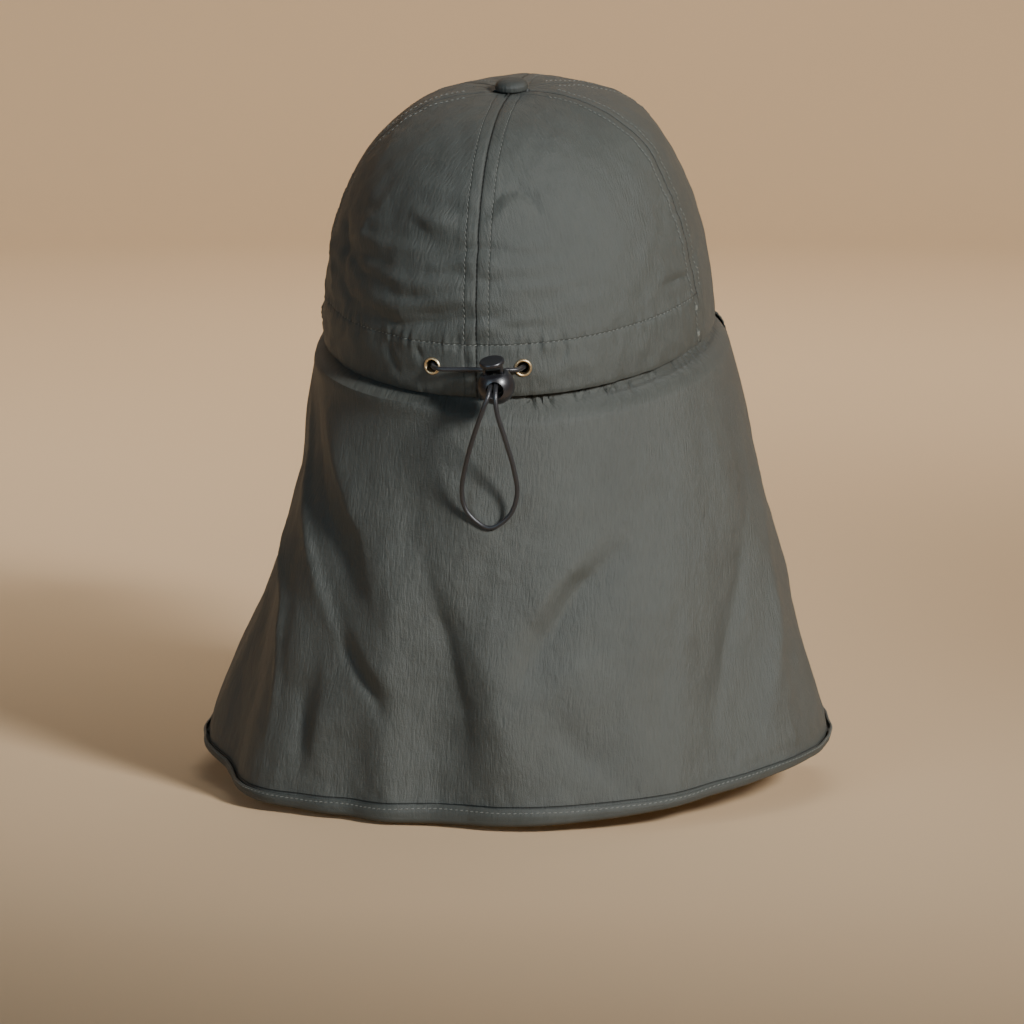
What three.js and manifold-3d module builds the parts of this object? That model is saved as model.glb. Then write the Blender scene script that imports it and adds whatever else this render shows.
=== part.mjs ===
// A six-panel sun cap with a long neck flap, in millimetres, +Z up as it is worn.
// The peak points along -Y and the flap hangs behind, towards +Y. The wearer's left is +X.
// The origin is the middle of the head opening, in the plane of the crown's rim.
import * as THREE from "three";
import { mergeVertices } from "three/addons/utils/BufferGeometryUtils.js";
import Module from "manifold-3d";

const wasm = await Module();
wasm.setup();

// Clearance between neighbours that touch on the real cap
const gap = 0.3;

// Crown: a dome on an oval rim that leans back on the head
const crown_half_width = 84.5;
const crown_half_length = 101;
const crown_height = 104.4;
const crown_lean_deg = 12;
const crown_cloth = 1.2;
const shoulder_power = 2.95; // how long the wall stays upright before it turns over
const dome_power = 2.08; // how flat the top is
const panel_flatness = 0.014; // share of its radius that a panel's middle lies inside the oval
const side_back_seam_deg = 77; // turn of the seam from the centre back
const side_front_seam_deg = 127;
const panel_tip_radius = 2.5; // where the panels end, under the button

// Button on the top
const button_radius = 7;
const button_height = 4.8;

// Cord, and the tunnel that it runs in along the back of the rim
const cord_diameter = 2;
const cord_sides = 8;
const cord_steps = 76;
const channel_height = 22;
const channel_slack = 2; // room in the tunnel beyond the cord's own diameter
const facing_cloth = 0.9;
const facing_end_deg = 75;

// Eyelets
const eyelet_spacing = 38.4;
const eyelet_height = 12.3;
const eyelet_hole_radius = 2.55;
const eyelet_wall = 0.35;
const eyelet_flange_radius = 3.75;
const eyelet_dome = 0.8;
const eyelet_back = 0.4;

// Cord lock: a ball with a cross hole, and a sprung plunger in it
const ball_radius = 7.9;
const ball_bottom_deg = 62; // latitude where the ball's flat bottom starts
const ball_top_deg = 48;
const lock_hole_radius = 3.5;
const lock_hole_height = 1; // height of the cross hole over the ball's middle
const lock_place = { across: -10.6, behind: 114, up: -14.2 };
const lock_turn_deg = 8;
const lock_lean_deg = 18;
const lock_roll_deg = 8;
const plunger_travel = 3.5;
const plunger_stem = { width: 8.2, depth: 3.8, sole: 2.2 };
const plunger_window_width = 6.2;
const plunger_window_spare = 1.5;
const plunger_head_radius = 5.3;
const plunger_head_thickness = 2;
const cord_seat_height = 1.3; // height of the strands over the middle of the cross hole

// Neck flap
const flap_cloth = 1;
const flap_tuck = 5; // how far it is sewn up inside the rim
const flap_roll = 13; // fall over which it comes out from under the rim
const flap_front_deg = 118; // turn of its front edges
const hem_half_width = 136;
const hem_half_length = 123.5;
const hem_fall_side = 181;
const hem_fall_back = 16; // how much lower the hem is at the back
const hem_sweep_power = 1.3;
const hem_low_deg = 12; // turn at which the hem hangs lowest
const hem_swing = 2; // how far the hem hangs to the wearer's left
const hem_corner = { deg: 10, share: 0.12 };
const fold_height = 10;

// Each fold runs down the flap between two shares of its fall, and wanders from one turn to another.
// width is half of its spread in degrees, and height is a share of fold_height, negative for a valley.
const flap_folds = [
  { start: -0.1, end: 0.4, turn_top: -96, turn_end: -100, width: 48, height: 0.15 },
  { start: 0.02, end: 0.96, turn_top: 88, turn_end: 84, width: 44, height: -0.95 },
  { start: 0.04, end: 0.45, turn_top: 70, turn_end: 60, width: 16, height: -0.45 },
  { start: 0.45, end: 1.3, turn_top: 106, turn_end: 98, width: 20, height: 0.5 },
  { start: 0.38, end: 1.3, turn_top: 68, turn_end: 58, width: 17, height: -0.5 },
  { start: 0.1, end: 0.9, turn_top: 76, turn_end: 31, width: 14, height: 0.3 },
  { start: 0.55, end: 1.4, turn_top: 46, turn_end: 40, width: 15, height: 0.5 },
  { start: 0.45, end: 1.4, turn_top: 10, turn_end: 2, width: 14, height: -0.6 },
  { start: 0.45, end: 1.4, turn_top: -12, turn_end: -18, width: 15, height: 0.35 },
  { start: 0.36, end: 1.2, turn_top: -72, turn_end: -48, width: 17, height: -0.5 },
  { start: 0.36, end: 1.4, turn_top: -88, turn_end: -72, width: 18, height: 0.12 },
];

// Tape that binds the flap's hem and front edges
const binding_height = 8;
const binding_cloth = 1;
const binding_slack = 0.8; // clearance between the tape and the cloth that it folds round
const binding_start = 4; // fall below the rim where the tape starts

// Peak
const peak_length = 68;
const peak_thickness = 3;
const peak_side_deg = 123; // turn of its ends
const peak_lap = 3; // how far it lies under the panels
const peak_end_length = 8;
const peak_edge_power = 0.75; // how full its outline stays towards its ends
const peak_spread = 0.22; // share by which it is wider at its edge than at the rim
const peak_drop = 14; // fall of the middle of its edge
const peak_camber = 17; // how much lower its sides are

// The drawcord's middle line, chosen by eye along its real route
const cord_route = [
  [32.2, 89.2, -6.8], [22.9, 92.5, -7.5], [20.8, 93.6, -7.6], [19.5, 95.5, -7.9],
  [18.9, 98.2, -8.2], [18.4, 100.4, -8.5], [17.0, 102.6, -8.8], [14.6, 104.0, -9.0],
  [-1.2, 104.1, -8.8], [-4.0, 104.5, -8.9], [-6.3, 105.9, -9.4], [-7.6, 108.4, -10.1],
  [-9.5, 121.1, -14.3], [-9.6, 123.3, -15.5], [-9.3, 124.8, -17.5], [-8.6, 125.4, -19.9],
  [-6.5, 124.6, -25.0], [0.4, 118.0, -43.5], [4.1, 112.0, -60.0], [1.9, 110.1, -68.2],
  [-6.7, 109.3, -74.3], [-15.3, 110.2, -69.2], [-19.2, 112.3, -59.5], [-18.5, 115.9, -48.5],
  [-15.7, 120.6, -35.5], [-13.2, 124.2, -25.0], [-12.6, 125.1, -19.8], [-12.4, 124.6, -17.3],
  [-12.2, 123.2, -15.3], [-11.9, 121.1, -14.1], [-10.2, 109.3, -10.2], [-10.9, 106.7, -9.3],
  [-12.7, 104.8, -8.9], [-15.1, 103.8, -8.8], [-17.1, 102.5, -8.8], [-18.4, 100.4, -8.5],
  [-19.5, 95.5, -7.9], [-20.8, 93.6, -7.6], [-22.9, 92.5, -7.5], [-32.2, 89.2, -6.8],
];

const rad = THREE.MathUtils.degToRad;
const lean = rad(crown_lean_deg);

// A point of the crown's own frame, which leans back about the origin, in the cap's frame
function leaned(across, behind, up) {
  return new THREE.Vector3(
    across,
    behind * Math.cos(lean) + up * Math.sin(lean),
    up * Math.cos(lean) - behind * Math.sin(lean),
  );
}

// Rises smoothly from 0 to 1 between two values
function smooth(value, from, to) {
  return THREE.MathUtils.smoothstep(value, from, to);
}

// One solid between two grids of points: the outer rows run upwards, their points left to right
function solid_between(outer, inner) {
  const rows = outer.length;
  const columns = outer[0].length;
  const points = [...outer.flat(), ...inner.flat()];
  const faces = [];
  const out = (row, column) => row * columns + column;
  const inn = (row, column) => rows * columns + row * columns + column;
  const quad = (a, b, c, d) => faces.push(a, b, c, a, c, d);
  for (let i = 0; i + 1 < rows; i++) {
    for (let j = 0; j + 1 < columns; j++) {
      quad(out(i, j), out(i, j + 1), out(i + 1, j + 1), out(i + 1, j));
      quad(inn(i, j), inn(i + 1, j), inn(i + 1, j + 1), inn(i, j + 1));
    }
    quad(out(i, 0), out(i + 1, 0), inn(i + 1, 0), inn(i, 0));
    quad(inn(i, columns - 1), inn(i + 1, columns - 1), out(i + 1, columns - 1), out(i, columns - 1));
  }
  for (let j = 0; j + 1 < columns; j++) {
    quad(inn(0, j), inn(0, j + 1), out(0, j + 1), out(0, j));
    quad(out(rows - 1, j), out(rows - 1, j + 1), inn(rows - 1, j + 1), inn(rows - 1, j));
  }
  return geometry_of(points, faces);
}

// One solid through a row of closed sections, whose outline as a flat shape closes both ends
function solid_along(sections, outline) {
  const sides = outline.length;
  const faces = [];
  sections.slice(1).forEach((_, s) => {
    for (let k = 0; k < sides; k++) {
      const a = s * sides + k;
      const b = s * sides + ((k + 1) % sides);
      faces.push(a, b, b + sides, a, b + sides, a + sides);
    }
  });
  const last = (sections.length - 1) * sides;
  for (const [a, b, c] of THREE.ShapeUtils.triangulateShape(outline, []))
    faces.push(c, b, a, last + a, last + b, last + c);
  return geometry_of(sections.flat(), faces);
}

function geometry_of(points, faces) {
  const geometry = new THREE.BufferGeometry().setFromPoints(points);
  geometry.setIndex(faces);
  geometry.computeVertexNormals();
  return geometry;
}

// A three.js geometry as a solid that can be joined and cut, moved by a matrix first
function solid(geometry, matrix = new THREE.Matrix4()) {
  const bare = geometry.clone().applyMatrix4(matrix);
  bare.deleteAttribute("normal");
  bare.deleteAttribute("uv");
  const merged = mergeVertices(bare, 1e-4);
  return new wasm.Manifold(
    new wasm.Mesh({
      numProp: 3,
      vertProperties: new Float32Array(merged.attributes.position.array),
      triVerts: new Uint32Array(merged.index.array),
    }),
  );
}

function geometry_from(made) {
  const mesh = made.getMesh();
  const geometry = new THREE.BufferGeometry();
  geometry.setAttribute("position", new THREE.BufferAttribute(mesh.vertProperties, 3));
  geometry.setIndex(new THREE.BufferAttribute(mesh.triVerts, 1));
  geometry.computeVertexNormals();
  return geometry;
}

// Where a dome wall stands, as shares of its width and height, at an angle up from the rim
function dome_share(rise) {
  const across = Math.cos(rise);
  const up = Math.sin(rise);
  let reach = 1;
  for (let i = 0; i < 10; i++) {
    const side = (reach * across) ** shoulder_power;
    const top = Math.abs(reach * up) ** dome_power;
    reach -= ((side + top - 1) * reach) / (shoulder_power * side + dome_power * top);
  }
  return { across: reach * across, up: reach * up };
}

// The angle up from the rim at which the dome wall has a height
function rise_at(height) {
  let low = 0;
  let high = Math.PI / 2;
  for (let i = 0; i < 40; i++) {
    const middle = (low + high) / 2;
    if (dome_share(middle).up * crown_height < height) low = middle;
    else high = middle;
  }
  return (low + high) / 2;
}

const seams_deg = [
  -180, -side_front_seam_deg, -side_back_seam_deg, 0,
  side_back_seam_deg, side_front_seam_deg, 180,
];

// How far over its panel a turn lies, 0 and 1 being the seams
function panel_share(turn_deg) {
  const before = seams_deg.findLastIndex((seam) => seam <= turn_deg);
  const k = THREE.MathUtils.clamp(before, 0, seams_deg.length - 2);
  return (turn_deg - seams_deg[k]) / (seams_deg[k + 1] - seams_deg[k]);
}

// The crown's outer skin, in its own frame: panels lie flatter between seams as the dome turns over
function crown_skin(turn_deg, rise) {
  const wall = dome_share(rise);
  const flat = panel_flatness * Math.sin(Math.PI * panel_share(turn_deg)) ** 2 * Math.sin(rise);
  const reach = wall.across * (1 - flat);
  return new THREE.Vector3(
    crown_half_width * reach * Math.sin(rad(turn_deg)),
    crown_half_length * reach * Math.cos(rad(turn_deg)),
    crown_height * wall.up,
  );
}

function crown_normal(turn_deg, rise) {
  const step = 1e-3;
  const round = crown_skin(turn_deg - step, rise).sub(crown_skin(turn_deg + step, rise));
  const up = crown_skin(turn_deg, rise + step).sub(crown_skin(turn_deg, rise - step));
  return round.cross(up).normalize();
}

// A point below the crown's skin by a depth, in the crown's own frame
function under_skin(turn_deg, rise, depth) {
  return crown_skin(turn_deg, rise).addScaledVector(crown_normal(turn_deg, rise), -depth);
}

// A short move across a seam's upright plane, towards greater turns
function off_seam(turn_deg, distance) {
  const across = crown_half_length * Math.cos(rad(turn_deg));
  const behind = -crown_half_width * Math.sin(rad(turn_deg));
  return new THREE.Vector3(across, behind, 0).setLength(distance);
}

function crown_panel(from_deg, to_deg, columns) {
  const rows = 12;
  const tip = Math.acos(panel_tip_radius / crown_half_width);
  const grid = (depth) =>
    Array.from({ length: rows + 1 }, (_, i) =>
      Array.from({ length: columns + 1 }, (_, j) => {
        const turn = from_deg + ((to_deg - from_deg) * j) / columns;
        const point = under_skin(turn, (tip * i) / rows, depth);
        if (j === 0) point.sub(off_seam(from_deg, gap / 2));
        if (j === columns) point.add(off_seam(to_deg, gap / 2));
        return point;
      }),
    );
  return solid_between(grid(0), grid(crown_cloth));
}

// The place and direction of an eyelet on the crown, as a matrix whose Y axis points out
const eyelet_rise = rise_at(eyelet_height);
const eyelet_deg =
  THREE.MathUtils.radToDeg(Math.asin(eyelet_spacing / 2 / crown_half_width));

function eyelet_matrix(side) {
  const out = crown_normal(side * eyelet_deg, eyelet_rise);
  const turn = new THREE.Quaternion().setFromUnitVectors(new THREE.Vector3(0, 1, 0), out);
  const place = crown_skin(side * eyelet_deg, eyelet_rise);
  return new THREE.Matrix4().compose(place, turn, new THREE.Vector3(1, 1, 1));
}

// A brass ring that grips the cloth between a domed flange and a turned-back one
function eyelet() {
  const barrel = eyelet_hole_radius + eyelet_wall;
  const cloth_back = -(crown_cloth + 2 * gap);
  const back_flange = barrel + eyelet_wall;
  const profile = [
    [eyelet_hole_radius, cloth_back - eyelet_back],
    [back_flange, cloth_back - eyelet_back],
    [back_flange, cloth_back],
    [barrel, cloth_back],
    [barrel, gap],
    [eyelet_flange_radius, gap],
    [eyelet_flange_radius - eyelet_wall, gap + eyelet_dome],
    [eyelet_hole_radius + eyelet_wall, gap + eyelet_dome],
    [eyelet_hole_radius, gap + eyelet_dome / 2],
    [eyelet_hole_radius, cloth_back - eyelet_back],
  ].map(([radius, along]) => new THREE.Vector2(radius, along));
  return new THREE.LatheGeometry(profile, 16);
}

// A back panel, with the hole that its eyelet is set in
function back_panel(from_deg, to_deg, side) {
  const radius = eyelet_hole_radius + eyelet_wall + gap;
  const punch = new THREE.CylinderGeometry(radius, radius, 4 * crown_cloth + 2, 16);
  const panel = solid(crown_panel(from_deg, to_deg, 12));
  return geometry_from(panel.subtract(solid(punch, eyelet_matrix(side))));
}

// The depth of the strip's outer face and of the flap's top edge under the crown's skin. Flat facets
// lie inside the oval that they follow, so the strip keeps two gaps.
const facing_depth = crown_cloth + 2 * gap;
const flap_inset = facing_depth + facing_cloth + 2 * gap + flap_cloth / 2;

// The strip sewn behind the back panels: flat where the flap is sewn to it, then bowed round the cord
function channel_facing() {
  const columns = 28;
  const bow_rows = 5;
  const bow_from = flap_tuck + 4 * gap;
  const bow_height = channel_height - gap - bow_from;
  const room = cord_diameter + channel_slack;
  const rows = [
    { height: gap, bow: 0 },
    ...Array.from({ length: bow_rows + 1 }, (_, i) => ({
      height: bow_from + (bow_height * i) / bow_rows,
      bow: room * Math.min(1, 1.5 * Math.sin((Math.PI * i) / bow_rows)),
    })),
  ];
  const grid = (depth) =>
    rows.map(({ height, bow }) =>
      Array.from({ length: columns + 1 }, (_, j) => {
        const turn = facing_end_deg * (1 - (2 * j) / columns);
        return under_skin(turn, rise_at(height), facing_depth + bow + depth);
      }),
    );
  return solid_between(grid(0), grid(facing_cloth));
}

function button() {
  const edge = 0.8;
  const profile = [
    [0, 0],
    [button_radius - edge, 0],
    [button_radius, edge],
    [button_radius, button_height * 0.45],
    [button_radius * 0.9, button_height * 0.72],
    [button_radius * 0.6, button_height * 0.93],
    [0, button_height],
  ].map(([radius, up]) => new THREE.Vector2(radius, up));
  return new THREE.LatheGeometry(profile, 20).rotateX(Math.PI / 2);
}

// Where the hem hangs at a turn, in the cap's frame
function hem_point(turn_deg) {
  const low = Math.cos(rad(turn_deg - hem_low_deg));
  const extra = Math.sign(low) * Math.abs(low) ** hem_sweep_power;
  return new THREE.Vector3(
    hem_swing + hem_half_width * Math.sin(rad(turn_deg)),
    hem_half_length * Math.cos(rad(turn_deg)),
    -(hem_fall_side + hem_fall_back * extra),
  );
}

// How far the folds push the flap out at a turn and a share of its fall
function fold_at(turn_deg, fall) {
  return flap_folds.reduce((sum, fold) => {
    const along = (fall - fold.start) / (fold.end - fold.start);
    if (along <= 0 || along >= 1) return sum;
    const middle = fold.turn_top + (fold.turn_end - fold.turn_top) * along;
    const off = Math.min(1, Math.abs(turn_deg - middle) / fold.width);
    const crest = (1 + Math.cos(Math.PI * off)) / 2;
    return sum + fold_height * fold.height * Math.sin(Math.PI * along) ** 2 * crest;
  }, 0);
}

// The middle of the flap's cloth, from its sewn top edge inside the rim down to the hem
function flap_middle(turn_deg, fall) {
  const x = Math.sin(rad(turn_deg));
  const y = Math.cos(rad(turn_deg));
  const hem = hem_point(turn_deg);
  const top = leaned(crown_half_width * x, crown_half_length * y, flap_tuck);
  const below_rim = fall * top.distanceTo(hem) - flap_tuck;
  const inside = leaned(
    (crown_half_width - flap_inset) * x,
    (crown_half_length - flap_inset) * y,
    -below_rim,
  );
  const out = new THREE.Vector3(x / hem_half_width, y / hem_half_length, 0).normalize();
  const hanging = top.lerp(hem, fall).addScaledVector(out, fold_at(turn_deg, fall));
  return inside.lerp(hanging, smooth(below_rim, 0, flap_roll));
}

function flap_normal(turn_deg, fall) {
  const step = 1e-3;
  const round = flap_middle(turn_deg - step, fall).sub(flap_middle(turn_deg + step, fall));
  const up = flap_middle(turn_deg, fall - step).sub(flap_middle(turn_deg, fall + step));
  return round.cross(up).normalize();
}

// The turn of the flap's front edges, which round off at the hem's corners
function front_edge_deg(fall) {
  const into_corner = Math.max(0, (fall - 1 + hem_corner.share) / hem_corner.share);
  return flap_front_deg - hem_corner.deg * (1 - Math.sqrt(Math.max(0, 1 - into_corner ** 2)));
}

// Shares of the fall for the flap's rows: close together at the rolled top and in the corners
const corner_steps = 4;
const flap_rows = [
  ...[0, 0.03, 0.055, 0.085],
  ...Array.from({ length: 7 }, (_, i) => 0.12 + ((0.88 - hem_corner.share) * i) / 7),
  ...Array.from({ length: corner_steps + 1 }, (_, i) =>
    1 - hem_corner.share * (1 - Math.sin((Math.PI * i) / (2 * corner_steps))),
  ),
];
const flap_columns = 40;

function flap_turn(fall, column) {
  return front_edge_deg(fall) * (1 - (2 * column) / flap_columns);
}

// A point off the flap's cloth, on the flat facets between its columns
function off_flap(column, fall, offset) {
  const [low, high] = [Math.floor(column), Math.ceil(column)].map((j) => {
    const turn = flap_turn(fall, j);
    return flap_middle(turn, fall).addScaledVector(flap_normal(turn, fall), offset);
  });
  return low.lerp(high, column % 1);
}

function neck_flap() {
  const grid = (offset) =>
    [...flap_rows].reverse().map((fall) =>
      Array.from({ length: flap_columns + 1 }, (_, j) => off_flap(j, fall, offset)),
    );
  return solid_between(grid(flap_cloth / 2), grid(-flap_cloth / 2));
}

// The folded tape: a deep U round the cloth's edge, swept down one front edge, along the hem and up.
// At each station round says how far the tape has turned from an upright edge, 0, to the hem, 90 degrees.
function binding_stations() {
  const start = (flap_tuck + binding_start) / hem_fall_side;
  const down = [start, ...flap_rows.filter((fall) => fall > start + 0.01)];
  const left = down.map((fall) => {
    const into_corner = Math.max(0, (fall - 1 + hem_corner.share) / hem_corner.share);
    return { column: 0, fall, round: Math.asin(Math.min(1, into_corner)) };
  });
  const hem = Array.from({ length: flap_columns - 1 }, (_, j) => (
    { column: j + 1, fall: 1, round: Math.PI / 2 }
  ));
  const right = left.map((station) => ({ ...station, column: flap_columns })).reverse();
  return [...left, ...hem, ...right];
}

function hem_binding() {
  const inner = flap_cloth / 2 + binding_slack;
  const outer = inner + binding_cloth;
  const fold = binding_slack + binding_cloth;
  const leg = binding_height - fold;
  const outline = [
    [outer, -leg], [outer, 0], [inner, fold], [-inner, fold],
    [-outer, 0], [-outer, -leg], [-inner, -leg], [-inner, binding_slack],
    [inner, binding_slack], [inner, -leg],
  ].map(([out, past]) => new THREE.Vector2(out, past));
  const stations = binding_stations();
  const edges = stations.map(({ column, fall }) => off_flap(column, fall, 0));
  const sections = stations.map(({ column, fall, round }, s) => {
    const inwards = column < flap_columns / 2 ? 1 : -1;
    const edge = edges[s];
    const along = edges[Math.min(s + 1, edges.length - 1)].clone().sub(edges[Math.max(s - 1, 0)]);
    const column_width = edge.distanceTo(off_flap(column + inwards, fall, 0));
    const fall_length = edge.distanceTo(off_flap(column, fall - 0.05, 0)) / 0.05;
    const away = (distance, offset) =>
      off_flap(
        column + (inwards * distance * Math.cos(round)) / column_width,
        fall - (distance * Math.sin(round)) / fall_length,
        offset,
      );
    const past_edge = edge.clone().sub(away(leg / 2, 0)).projectOnPlane(along.normalize()).normalize();
    return outline.map(({ x: out, y: past }) =>
      past > -leg
        ? away(0, out).addScaledVector(past_edge, past)
        : away(leg, out),
    );
  });
  return solid_along(sections, outline);
}

// The peak, in the crown's frame: under the front panels at the rim, then forwards and down
function peak() {
  const columns = 20;
  const shares = [0, 0.25, 0.5, 0.75, 1];
  const grid = (under) =>
    [-1, ...shares].map((out) =>
      Array.from({ length: columns + 1 }, (_, j) => {
        const side = (2 * j) / columns - 1;
        const turn = rad(180 + (180 - peak_side_deg) * side);
        const reach =
          peak_end_length + (peak_length - peak_end_length) * (1 - side ** 2) ** peak_edge_power;
        const lap = out < 0 ? peak_lap : 0;
        const past = Math.max(0, out);
        const share = past * (reach / peak_length);
        const drop = peak_drop * share + peak_camber * past * side ** 2;
        return new THREE.Vector3(
          (crown_half_width - lap) * Math.sin(turn) * (1 + peak_spread * share),
          (crown_half_length - lap) * Math.cos(turn) - reach * past,
          -gap - drop - under,
        );
      }),
    );
  return solid_between(grid(0), grid(peak_thickness));
}

function drawcord() {
  const route = new THREE.CatmullRomCurve3(cord_route.map((p) => new THREE.Vector3(...p)));
  const section = new THREE.Shape(
    Array.from({ length: cord_sides }, (_, k) => {
      const angle = (2 * k * Math.PI) / cord_sides;
      return new THREE.Vector2(Math.cos(angle), Math.sin(angle)).multiplyScalar(cord_diameter / 2);
    }),
  );
  return new THREE.ExtrudeGeometry(section, {
    steps: cord_steps,
    bevelEnabled: false,
    extrudePath: route,
  });
}

// Heights on the cord lock's axis, from the middle of the ball
const ball_top = ball_radius * Math.sin(rad(ball_top_deg));
const cord_seat = lock_hole_height + cord_seat_height;
const window_bottom = cord_seat - cord_diameter / 2 - gap;
const window_top = cord_seat + cord_diameter / 2 + gap + plunger_travel + plunger_window_spare;
const stem_bottom = window_bottom - plunger_stem.sole;
const head_bottom = ball_top + plunger_travel + gap;

function box(width, depth, low, high) {
  return new THREE.BoxGeometry(width, depth, high - low).translate(0, 0, (low + high) / 2);
}

function toggle_barrel() {
  const steps = 9;
  const arc = Array.from({ length: steps + 1 }, (_, k) => {
    const latitude = rad(-ball_bottom_deg + ((ball_top_deg + ball_bottom_deg) * k) / steps);
    return [ball_radius * Math.cos(latitude), ball_radius * Math.sin(latitude)];
  });
  const profile = [[0, arc[0][1]], ...arc, [0, ball_top]].map((p) => new THREE.Vector2(...p));
  const ball = new THREE.LatheGeometry(profile, 24).rotateX(Math.PI / 2);
  const pocket = box(
    plunger_stem.width + 2 * gap,
    plunger_stem.depth + 2 * gap,
    stem_bottom - plunger_travel - gap,
    ball_top + 1,
  );
  const hole = new THREE.CylinderGeometry(lock_hole_radius, lock_hole_radius, 4 * ball_radius, 20)
    .translate(0, 0, lock_hole_height);
  return geometry_from(solid(ball).subtract(solid(pocket)).subtract(solid(hole)));
}

function toggle_plunger() {
  const edge = plunger_head_thickness / 4;
  const profile = [
    [0, head_bottom],
    [plunger_head_radius - edge, head_bottom],
    [plunger_head_radius, head_bottom + edge],
    [plunger_head_radius, head_bottom + plunger_head_thickness - edge],
    [plunger_head_radius - edge, head_bottom + plunger_head_thickness],
    [0, head_bottom + plunger_head_thickness],
  ].map((p) => new THREE.Vector2(...p));
  const head = new THREE.LatheGeometry(profile, 24).rotateX(Math.PI / 2);
  const stem = box(plunger_stem.width, plunger_stem.depth, stem_bottom, head_bottom + edge);
  const window = box(plunger_window_width, 2 * plunger_stem.depth, window_bottom, window_top);
  return geometry_from(solid(head).add(solid(stem)).subtract(solid(window)));
}

function piece(name, geometry, colour, roughness, metalness = 0) {
  const material = new THREE.MeshStandardMaterial({ color: colour, roughness, metalness });
  const mesh = new THREE.Mesh(geometry, material);
  mesh.name = name;
  return mesh;
}

const cloth_green = 0x555750;
const facing_green = 0x4a4c46;
const binding_green = 0x4c4e48;
const black_plastic = 0x17181a;
const cord_black = 0x1c1c1e;
const brass = 0xb98a4c;

// Everything sewn to the crown shares its leaning frame
const crown = new THREE.Group();
crown.rotation.x = -lean;
const back = side_back_seam_deg;
const front = side_front_seam_deg;
crown.add(piece("back_left", back_panel(back, 0, 1), cloth_green, 0.75));
crown.add(piece("back_right", back_panel(0, -back, -1), cloth_green, 0.75));
crown.add(piece("side_left", crown_panel(front, back, 8), cloth_green, 0.75));
crown.add(piece("side_right", crown_panel(-back, -front, 8), cloth_green, 0.75));
crown.add(piece("front_left", crown_panel(180, front, 8), cloth_green, 0.75));
crown.add(piece("front_right", crown_panel(-front, -180, 8), cloth_green, 0.75));
crown.add(piece("channel_facing", channel_facing(), facing_green, 0.8));
crown.add(piece("peak", peak(), cloth_green, 0.75));
for (const [name, side] of [["eyelet_left", 1], ["eyelet_right", -1]]) {
  const ring = piece(name, eyelet(), brass, 0.3, 1);
  eyelet_matrix(side).decompose(ring.position, ring.quaternion, ring.scale);
  crown.add(ring);
}
const cap_button = piece("button", button(), cloth_green, 0.75);
cap_button.position.z = crown_height + gap;
crown.add(cap_button);

// The cord lock hangs on the cord behind the rim, its head leaning out
const lock = new THREE.Group();
lock.position.set(lock_place.across, lock_place.behind, lock_place.up);
lock.rotation.set(-rad(lock_lean_deg), rad(lock_roll_deg), rad(lock_turn_deg), "ZXY");
lock.add(piece("toggle_barrel", toggle_barrel(), black_plastic, 0.25));
lock.add(piece("toggle_plunger", toggle_plunger(), black_plastic, 0.25));

const cap = new THREE.Group();
cap.add(crown, lock);
cap.add(piece("neck_flap", neck_flap(), cloth_green, 0.75));
cap.add(piece("hem_binding", hem_binding(), binding_green, 0.8));
cap.add(piece("drawcord", drawcord(), cord_black, 0.6));

export default cap;
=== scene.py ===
# %% [markdown]
# # A six-panel sun cap with a long neck flap
#
# The cap is thin crinkled nylon: six panels sewn to a dome, a covered button, a peak, and a long
# flap that hangs from the rim, its hem and front edges bound with folded tape. A drawcord leaves
# a tunnel along the back through two brass eyelets and runs through a ball-shaped cord lock.
# Each piece is made from the same named sizes as the solid that it covers, only much finer.

# %% Load the frame
import math

import bmesh
import bpy
import numpy as np
from mathutils import Matrix, Vector, noise


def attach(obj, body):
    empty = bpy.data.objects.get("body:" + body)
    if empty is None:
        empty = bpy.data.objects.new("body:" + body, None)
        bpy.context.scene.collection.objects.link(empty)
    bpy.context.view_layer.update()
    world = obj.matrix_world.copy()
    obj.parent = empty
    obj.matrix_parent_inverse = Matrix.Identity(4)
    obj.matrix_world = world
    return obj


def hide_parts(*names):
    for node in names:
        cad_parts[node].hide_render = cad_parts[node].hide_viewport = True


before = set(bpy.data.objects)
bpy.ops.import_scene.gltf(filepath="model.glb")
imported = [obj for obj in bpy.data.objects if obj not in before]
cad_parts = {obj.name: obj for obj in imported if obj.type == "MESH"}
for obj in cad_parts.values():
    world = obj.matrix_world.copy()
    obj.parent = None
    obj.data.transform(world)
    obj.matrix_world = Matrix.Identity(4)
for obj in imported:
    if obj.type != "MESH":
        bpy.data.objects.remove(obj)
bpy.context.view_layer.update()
MM = 0.001

# %% [markdown]
# ## Camera and room
#
# The picture was taken from behind, a little round towards the cap's own right and a little above
# the rim. A long lens keeps the dome and the hem in proportion. The room is one round bowl of
# pale warm paper, so the cap has the same plain surround from every side.

# %% Camera
camera_turn = math.radians(190.5)
camera_rise = math.radians(6)
camera_distance = 2.0
field_width = 0.447
towards_camera = Vector((math.sin(camera_turn), -math.cos(camera_turn), 0))
camera_right = Vector((0, 0, 1)).cross(towards_camera)
camera_place = camera_distance * (
    towards_camera * math.cos(camera_rise) + Vector((0, 0, math.sin(camera_rise)))
)
aim = -0.0039 * camera_right + Vector((0, 0, -0.0836))
camera = bpy.data.objects.new("camera", bpy.data.cameras.new("camera"))
camera.data.lens = camera.data.sensor_width * camera_distance / field_width
camera.location = camera_place
camera.rotation_euler = (aim - camera_place).to_track_quat("-Z", "Y").to_euler()
bpy.context.collection.objects.link(camera)
bpy.context.scene.camera = camera
print("camera at", [round(v, 3) for v in camera_place], "lens", round(camera.data.lens, 1))


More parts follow.
